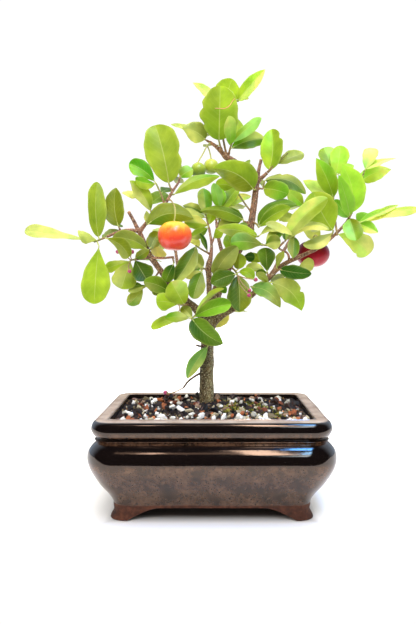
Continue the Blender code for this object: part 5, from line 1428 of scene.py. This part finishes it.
def add_leaf(shell, leaf, tone, chance):
    """A blade in its tones, paler behind, with a painted highlight at the rim, clouded, darker at the base,
    and its stalk.
    """
    rings, u, v = blade_rings(leaf)
    colour = blade_tones(tone, u, v)
    behind = slice(len(ACROSS), None)
    colour[:, behind] = blend(colour[:, behind], linear(TONES["p"]), 0.4)
    cloud = lumps(rings, 9.0, 51)[..., None] + 0.5 * lumps(rings, 3.6, 52)[..., None]
    colour = colour * (1 + cloud * np.array([0.2, 0.14, 0.22]))
    # Painted highlight: the blade's rim is blended towards a pale yellow
    rim = np.clip((np.abs(v) - 0.84) * 6, 0, 1)[..., None] * 0.3
    colour = blend(colour, linear(TONES["y"]) * 0.85, rim)
    at_base = np.exp(-u / 0.12)[..., None] * 0.25
    colour = colour * (1 - at_base * np.array([0.6, 0.5, 0.6])) * chance.uniform(0.94, 1.06)
    chart = np.stack([u, v * 0.5 + 0.5], axis=-1).reshape(-1, 2)
    shell.add_tube(rings, np.minimum(colour, BRIGHTEST), chart=np.vstack([chart, (0, 0.5), (1, 0.5)]))
    foot, base = leaf["foot"], leaf["base"]
    first, second = leaf_lines(leaf, [0.0, 0.08])[0]
    back_off = foot + 0.5 * (foot - base) / max(1.0, np.linalg.norm(foot - base))
    path = smooth_path(np.array([back_off, (foot + base) / 2, first, second]), 0.5)
    radii = np.interp(np.linspace(0, 1, len(path)), [0, 0.2, 1], STALK_RADII)
    shell.add_tube(rod(path, radii, 10), linear((186, 196, 96)), chart=(0.0, 0.5))


def add_fold_line(shell, leaf, spots, radius):
    """A dry, pale edge that lies across the blade's seen face, through spots given as (u, v)."""
    rings = blade_rings(leaf)[0]
    near = [(np.abs(ALONG - u).argmin(), np.abs(ACROSS - v).argmin()) for u, v in spots]
    path = smooth_path(np.array([rings[row, column] for row, column in near]), 0.6)
    shell.add_tube(rod(path, np.full(len(path), radius), 8), linear((250, 206, 150)), chart=(0.0, 0.9))


def add_shoot(shell, points, radius):
    """The spray's own stem: brown, greener towards its tip, a little uneven, and rounded off."""
    path = smooth_path(np.column_stack([points, np.linspace(radius, radius * 0.85, len(points))]), 0.5)
    rings = rod(path[:, :3], path[:, 3], 14, lambda spots, reach: 0.1 * lumps(spots, 1.0, 31) * reach)
    rings = rounded_off(rings, path, 0.6, 0.35 * radius)
    walked = np.linspace(0, 1, len(rings))[:, None, None]
    shell.add_tube(rings, blend(linear((142, 108, 72)), linear((140, 148, 70)), walked), 1)


def add_bud(shell, readings, radius):
    """A pink flower bud, a ball drawn out to a point with five seams, in green sepals on its stalk."""
    path = smooth_path(placed(readings), 0.6)
    shell.add_tube(rod(path, np.full(len(path), BUD_STALK), 10), linear((168, 140, 92)), 1)
    heading = unit(path[-1] - path[-3])
    t = np.linspace(-0.98, 0.98, 15)
    line = path[-1] + np.outer(t * radius * 1.1, heading)
    seams = 1 + 0.07 * np.cos(5 * np.linspace(0, 2 * math.pi, 20, endpoint=False))[None, :, None]
    rings = rod(line, radius * np.sqrt(1 - t**2) * (1 - 0.15 * t), 20)
    rings = line[:, None] + (rings - line[:, None]) * seams
    green = np.clip((-0.35 - t) * 6, 0, 1)[:, None, None]
    shell.add_tube(rings, blend(linear((180, 76, 112)), linear((142, 158, 60)), green), 2)


# %% Leaf, shoot and bud finishes
VEIN_LIGHT = 0.1
RIB_LIGHT = 0.6
GLOW_SHARE = 0.42

leaf_skin, tree = new_finish("leaf")
chart = node(tree, "UVMap", uv_map="blade").outputs[0]
along, chart_across, _ = node(tree, "SeparateXYZ", {0: chart}).outputs
across = calc(tree, "ABSOLUTE", calc(tree, "MULTIPLY_ADD", chart_across, 2.0, -1.0))
rib_width = calc(tree, "MULTIPLY_ADD", along, -0.035, 0.055)
rib = calc(tree, "SUBTRACT", 1.0, calc(tree, "DIVIDE", across, rib_width), clamp=True)
slanted = calc(tree, "MULTIPLY_ADD", across, -2.4, times(tree, along, 9.0))
to_vein = calc(tree, "PINGPONG", slanted, 0.5)
vein = calc(tree, "SUBTRACT", 1.0, calc(tree, "DIVIDE", to_vein, 0.09), clamp=True)
vein = times(tree, vein, between(tree, across, 0.97, 0.6))
cloud = speckle(tree, 90, 5, roughness=0.6)
shade = ramp(tree, cloud, [(0.3, (0.8, 0.83, 0.68, 1)), (0.7, (1.07, 1.03, 1.0, 1))])
colour = mixed(tree, 1.0, painted(tree), shade, "MULTIPLY")
colour = mixed(tree, times(tree, vein, VEIN_LIGHT), colour, rgba(214, 226, 130))
colour = mixed(tree, times(tree, rib, RIB_LIGHT), colour, rgba(218, 222, 140))
net = times(tree, speckle(tree, 1300, 3), 0.25)
height = calc(tree, "ADD", net, times(tree, calc(tree, "ADD", vein, rib), -0.5))
front_shader = gloss(
    tree, Base_Color=colour, Roughness=0.36, IOR=1.45, Specular_IOR_Level=0.3,
    Normal=bumped(tree, height, 0.22, 0.0002),
)
through = mixed(tree, 1.0, colour, (1.2, 1.15, 0.55, 1), "MULTIPLY")
glow = node(tree, "BsdfTranslucent", {"Color": through}).outputs[0]
finish_with(tree, node(tree, "MixShader", {0: GLOW_SHARE, 1: front_shader, 2: glow}).outputs[0])

shoot_skin = toned_finish(
    "shoot", 900, 4, (0.35, (0.6, 0.6, 0.55)), (0.65, (1.25, 1.2, 1.1)), 0.6, 0.6, 0.0003
)
petal = toned_finish(
    "petal", 500, 3, (0.35, (0.75, 0.6, 0.7)), (0.65, (1.2, 1.15, 1.15)), 0.45, 0.4, 0.0003
)

# %% Sprays in place
FOLD_LINE_RADIUS = 0.42
BUD_RADIUS = 1.8
LOW_BUD_RADIUS = 2.0
chance = random.Random(40)
for name, found in leaves.items():
    spray = Shell()
    add_shoot(spray, *shoots[name])
    for index, (leaf, tone) in enumerate(found):
        add_leaf(spray, leaf | {"bites": BITES.get((name, index), [])}, tone, chance)
        for spots in FOLD_LINES.get((name, index), []):
            add_fold_line(spray, leaf, spots, FOLD_LINE_RADIUS)
    for bud in BUDS.get(name, []):
        add_bud(spray, bud, BUD_RADIUS)
    make_piece("leaves_" + name, spray, [leaf_skin, shoot_skin, petal], ["spray_" + name])

# %% [markdown]
# ## Cherries
#
# A Barbados cherry is a flattened ball with three shallow lobes and a dimple under its stalk. The surface
# is a ball whose radius is multiplied by 1 + lobe * cos(3 a), pressed in at both poles. The ripe one runs
# from yellow-orange at the top to red below, with fine streaks; the dark one is crimson; the two green ones
# share a forked stalk.

# %% Cherry readings and surface
CHERRIES = {
    "orange": ((-36.5, 241, -26), 31.4, 28.5, [
        (-43, 276.2, -9.8), (-39.5, 274.5, -14.5), (-36.4, 269, -21), (-35.8, 262, -25.5),
    ]),
    "crimson": ((96, 223.8, 3), 32.0, 27.0, [(105, 232, -18), (103, 238.5, -10), (98.5, 241.5, -1)]),
    "green_left": ((-13.7, 304, 6), 14.4, 15.2, [(-2, 330.3, 17), (-5, 327.5, 9), (-9.5, 319, 7)]),
    "green_right": ((-1.4, 307.5, 15), 14.6, 15.4, [(-5, 327.5, 9), (-2.8, 322, 13)]),
}
STALK_RADIUS = 0.75


def cherry_rings(name, rows=60, columns=96):
    """Rings from bottom to top: (cos a sin t, sin a sin t, cos t) with lobes, less a dent at each pole."""
    middle, width, height, _ = CHERRIES[name]
    t = np.linspace(math.pi, 0, rows + 2)[1:-1, None]
    a = np.linspace(0, 2 * math.pi, columns, endpoint=False)[None, :]
    ring = np.sin(t)
    lobe = 1 + 0.025 * ring * np.cos(3 * a)
    dent = 0.17 * np.exp(-((ring / 0.35) ** 2)) * np.where(t < math.pi / 2, 1.0, 0.35)
    z = np.cos(t) - np.sign(np.cos(t)) * dent
    x, y = ring * np.cos(a) * lobe, ring * np.sin(a) * lobe
    ball = np.stack([x * width / 2, y * width / 2, z * np.ones_like(a) * height / 2], axis=-1)
    uneven = 1 + 0.012 * lumps(ball, width * 0.3, 41)[..., None]
    return seen(middle) + ball * uneven


def above_middle(name, share):
    """The point over a cherry's middle at a share of its half height."""
    middle, _, height, _ = CHERRIES[name]
    return seen(middle) + (0, 0, height / 2 * share)


def stalk_path(name, points, over):
    """The stalk's path: down its readings, upright over the fruit, and into its dimple."""
    end = above_middle(name, 0.83) + (0, 0, over)
    return smooth_path(np.vstack([points, end + (0, 0, 2.5), end]), 0.6)


def add_stalk(shell, path, slot, start, end):
    """A thin stalk, swollen at both ends, from one colour to the other."""
    share = np.linspace(0, 1, len(path))
    radius = STALK_RADIUS * (0.85 + 0.5 * np.exp(-share / 0.05) + 0.45 * np.exp(-(1 - share) / 0.04))
    rings = rod(path, radius, 14, lambda spots, reach: 0.08 * reach * lumps(spots, 1.3, 43))
    shell.add_tube(rings, blend(linear(start), linear(end), share[:, None, None]), slot)


# %% Cherry skins
def cherry_skin(name, middle, height, stops, streak, rough, speck, mirror=0.5):
    """Colours by height on the fruit, broken by streaks along the fruit, with pale pores and a waxy coat."""
    material, tree = new_finish(name)
    place = node(tree, "TexCoord").outputs["Object"]
    centre = tuple((seen(middle) + MIDDLE) * MM)
    local = node(tree, "VectorMath", {0: place, 1: centre}, operation="SUBTRACT").outputs[0]
    level = node(tree, "SeparateXYZ", {0: local}).outputs[2]
    level = between_mm(tree, level, -height / 2, height / 2)
    blotch = calc(tree, "MULTIPLY_ADD", speckle(tree, 70, 3), streak, -streak / 2)
    streaks = speckle(tree, 420, 5, stretch=(1, 1, 0.25))
    fine = calc(tree, "MULTIPLY_ADD", streaks, streak * 0.6, -streak * 0.3)
    level = calc(tree, "ADD", level, calc(tree, "ADD", blotch, fine))
    to_dot = node(tree, "TexVoronoi", {"Vector": place, "Scale": 620.0}).outputs["Distance"]
    dots = times(tree, between(tree, to_dot, 0.16, 0.1), 0.35)
    finish_with(tree, gloss(
        tree,
        Base_Color=mixed(tree, dots, ramp(tree, level, stops), speck),
        Roughness=rough,
        IOR=1.45,
        Specular_IOR_Level=mirror,
        Coat_Weight=0.8 * mirror,
        Coat_Roughness=0.1,
        Normal=bumped(tree, speckle(tree, 160, 3), 0.25, 0.0005),
    ))
    return material


orange_skin = cherry_skin("ripe_cherry", CHERRIES["orange"][0], 28.5, [
    (0.08, rgba(216, 66, 54)), (0.4, rgba(220, 66, 38)), (0.62, rgba(232, 102, 34)),
    (0.82, rgba(244, 172, 40)), (0.97, rgba(214, 190, 50)),
], 0.5, 0.3, rgba(250, 200, 150))
crimson_skin = cherry_skin("crimson_cherry", CHERRIES["crimson"][0], 27.0, [
    (0.1, rgba(160, 26, 40)), (0.45, rgba(134, 11, 27)),
    (0.8, rgba(84, 5, 17)), (0.97, rgba(58, 3, 14)),
], 0.45, 0.34, rgba(200, 96, 96), 0.15)
green_skin = cherry_skin("green_cherry", (-7.5, 305.8, 10.5), 18.0, [
    (0.12, rgba(92, 118, 22)), (0.45, rgba(144, 164, 42)),
    (0.75, rgba(180, 190, 62)), (0.95, rgba(202, 206, 86)),
], 0.3, 0.42, rgba(232, 236, 160))
stalk_skin = toned_finish(
    "stalk", 1200, 3, (0.35, (0.75, 0.72, 0.6)), (0.65, (1.15, 1.15, 1.1)), 0.5, 0.5, 0.0002
)

# %% Cherries in place
for name, skin, slot in (("orange", orange_skin, "ripe_cherry"), ("crimson", crimson_skin, "crimson_cherry")):
    fruit = Shell()
    fruit.add_tube(cherry_rings(name))
    nub = np.outer(np.linspace(0.6, -1.1, 6), (0, 0, 1)) + above_middle(name, -0.94)
    fruit.add_tube(rod(nub, np.array([0.9, 0.8, 0.6, 0.5, 0.6, 0.3]), 10), linear((120, 70, 40)), 1)
    make_piece("cherry_" + name, fruit, [skin, stalk_skin], ["fruit_" + name])
    _, points, spur = seated(CHERRIES[name][3], STALK_RADIUS)
    add_spur(spur, STALK_RADIUS)
    stalk = Shell()
    add_stalk(stalk, stalk_path(name, points, 0.0), 0, (150, 120, 80), (196, 196, 110))
    make_piece("stalk_" + name + "_fine", stalk, [stalk_skin], ["stalk_" + name])

pair = Shell()
_, points, spur = seated(CHERRIES["green_left"][3], STALK_RADIUS)
add_spur(spur, STALK_RADIUS)
for name, path in (("green_left", points), ("green_right", placed(CHERRIES["green_right"][3]))):
    pair.add_tube(cherry_rings(name, 40, 64))
    add_stalk(pair, stalk_path(name, path, -1.0), 1, (150, 150, 80), (206, 206, 110))
    for turn in np.arange(5) * 2 * math.pi / 5:
        outward = np.array([math.cos(turn), math.sin(turn), 0])
        sepal = np.outer([0.3, 1.4, 2.4], outward) + np.outer([0.1, 0.5, 0.3], (0, 0, 1))
        sepal = smooth_path(above_middle(name, 0.86) + sepal, 0.3)
        pair.add_tube(rod(sepal, np.linspace(0.5, 0.25, len(sepal)), 8), linear((140, 110, 60)), 1)
make_piece("cherries_green", pair, [green_skin, stalk_skin], ["fruit_green"])

# %% Wood in place
add_bud(wood, LOW_BUD, LOW_BUD_RADIUS)
make_piece("bark_wood", wood, [bark, shoot_skin, petal], ["wood"])

# %% [markdown]
# ## Floor and light
#
# The picture was taken on a white table in front of a white wall, both bright enough to burn out, while the
# glaze mirrors the table's front edge and, beyond it, a dark room with warm lamps and a window. The floor
# does the same: it ends a little before the pot, gives off light of its own away from the feet, and carries a
# painted shadow, dark under the pot between the feet. The world is white to the camera and to the leaves. In
# mirror rays it is dark in front of the pot, bluish white behind it, and dimmer straight behind, where the
# flat rim's mirror rays go, so that the rim stays beige. Two large lights that the glaze doesn't mirror give
# the soft top and front light; the weaker ones are the lamps and panes that draw the streaks on lip and
# shoulder.

# %% Floor
FLOOR_HALF = 3000.0
FRONT_EDGE = 180.0
FEET_HALF = (84.0, 59.0)
NEAR_GLOW = (-4.0, 50.0)
FAR_GLOW = (100.0, 700.0)
SHADOW_END = (-14.0, 4.0)
far = FLOOR_HALF * MM
near = (MIDDLE[1] - FRONT_EDGE) * MM
floor_mesh = bpy.data.meshes.new("floor")
floor_corners = [(-far, near, 0), (far, near, 0), (far, far, 0), (-far, far, 0)]
floor_mesh.from_pydata(floor_corners, [], [(0, 1, 2, 3)])
table_top, tree = new_finish("table_top")
past = []
for value, middle, half in zip(axes(tree), MIDDLE, FEET_HALF):
    from_middle = calc(tree, "ABSOLUTE", calc(tree, "SUBTRACT", value, middle * MM))
    past.append(calc(tree, "SUBTRACT", from_middle, half * MM))
past_feet = calc(tree, "MAXIMUM", *past)
near_share = times(tree, between_mm(tree, past_feet, *NEAR_GLOW), 0.3)
own_light = calc(tree, "MULTIPLY_ADD", between_mm(tree, past_feet, *FAR_GLOW), 0.5, near_share)
# Painted shadow: the table's colour is dark under the pot, between the feet
outside_painted_shadow = between_mm(tree, past_feet, *SHADOW_END)
finish_with(tree, gloss(
    tree,
    Base_Color=mixed(tree, outside_painted_shadow, (0.09, 0.075, 0.07, 1), (0.9, 0.895, 0.89, 1)),
    Roughness=0.5,
    Emission_Color=(1.0, 0.99, 0.98, 1),
    Emission_Strength=own_light,
))
floor_mesh.materials.append(table_top)
floor = bpy.data.objects.new("floor", floor_mesh)
bpy.context.scene.collection.objects.link(floor)
print("the floor ends", FRONT_EDGE, "mm in front of the pot's middle")

# %% World
world = bpy.data.worlds.new("studio")
world.use_nodes = True
tree = world.node_tree
tree.nodes.clear()
rays = node(tree, "LightPath").outputs
backwards = axes(tree, "Generated")[1]
mirrored = mixed(tree, between(tree, backwards, -0.1, 0.3), (0.008, 0.007, 0.008, 1), (1.0, 1.25, 1.6, 1))
mirrored = mixed(tree, between(tree, backwards, 0.75, 0.9), mirrored, (0.4, 0.36, 0.33, 1))
seen_by_all = mixed(tree, rays["Is Glossy Ray"], (1.0, 0.985, 0.95, 1), mirrored)
seen_by_all = mixed(tree, rays["Is Camera Ray"], seen_by_all, (1, 1, 1, 1))
strength = node(tree, "Mix", {0: rays["Is Camera Ray"], 2: 0.85, 3: 1.05}).outputs[0]
background = node(tree, "Background", {"Color": seen_by_all, "Strength": strength}).outputs[0]
node(tree, "OutputWorld", {"Surface": background})
bpy.context.scene.world = world
print("the world has", len(tree.nodes), "nodes")

# %% Lights
LIGHTS = {
    "top": ((100, 250, 1300), (0, 0, 150), (1200, 900), 20.0, (1.0, 0.98, 0.93)),
    "front": ((-500, -1100, 900), (0, 0, 220), (900, 700), 9.0, (1.0, 0.97, 0.92)),
    "warm_lamp": ((137, -676, 1080), (43, -76, 60), (120, 520), 3.6, (1.0, 0.82, 0.7)),
    "long_lamp": ((-20, -676, 1040), (0, -76, 60), (540, 170), 0.4, (1.0, 0.75, 0.6)),
    "small_lamp": ((-176, -676, 1040), (-48, -76, 60), (34, 170), 0.3, (1.0, 0.8, 0.7)),
    "upper_pane": ((270, -355, 1160), (270, -355, 0), (130, 240), 4.5, (0.1, 0.36, 1.0)),
    "middle_pane": ((320, -780, 1160), (320, -780, 0), (90, 360), 3.2, (0.25, 0.55, 1.0)),
    "lower_pane": ((355, -1400, 1160), (355, -1400, 0), (120, 760), 3.4, (0.6, 0.8, 1.0)),
}
NOT_MIRRORED = ("top", "front")


def area_light(name, place, aim, size, power, colour):
    """A rectangle of light at a place in millimetres, turned to its aim, hidden from the camera."""
    light = bpy.data.lights.new(name, "AREA")
    light.shape = "RECTANGLE"
    light.size, light.size_y = size[0] * MM, size[1] * MM
    light.energy = power
    light.color = colour
    obj = bpy.data.objects.new(name, light)
    place, aim = np.array(place, float), np.array(aim, float)
    obj.location = (place + MIDDLE) * MM
    ahead = unit(aim - place)
    right = unit(np.cross(ahead, (0, 0, 1)) if abs(ahead[2]) < 0.99 else np.array([1.0, 0, 0]))
    up = np.cross(right, ahead)
    obj.rotation_euler = mathutils.Matrix(np.column_stack([right, up, -ahead]).tolist()).to_euler()
    obj.visible_camera = False
    obj.visible_glossy = name not in NOT_MIRRORED
    bpy.context.scene.collection.objects.link(obj)


for name, settings in LIGHTS.items():
    area_light(name, *settings)
scene = bpy.context.scene
scene.view_settings.view_transform = "Standard"
scene.view_settings.look = "None"
print(len(LIGHTS), "lights")
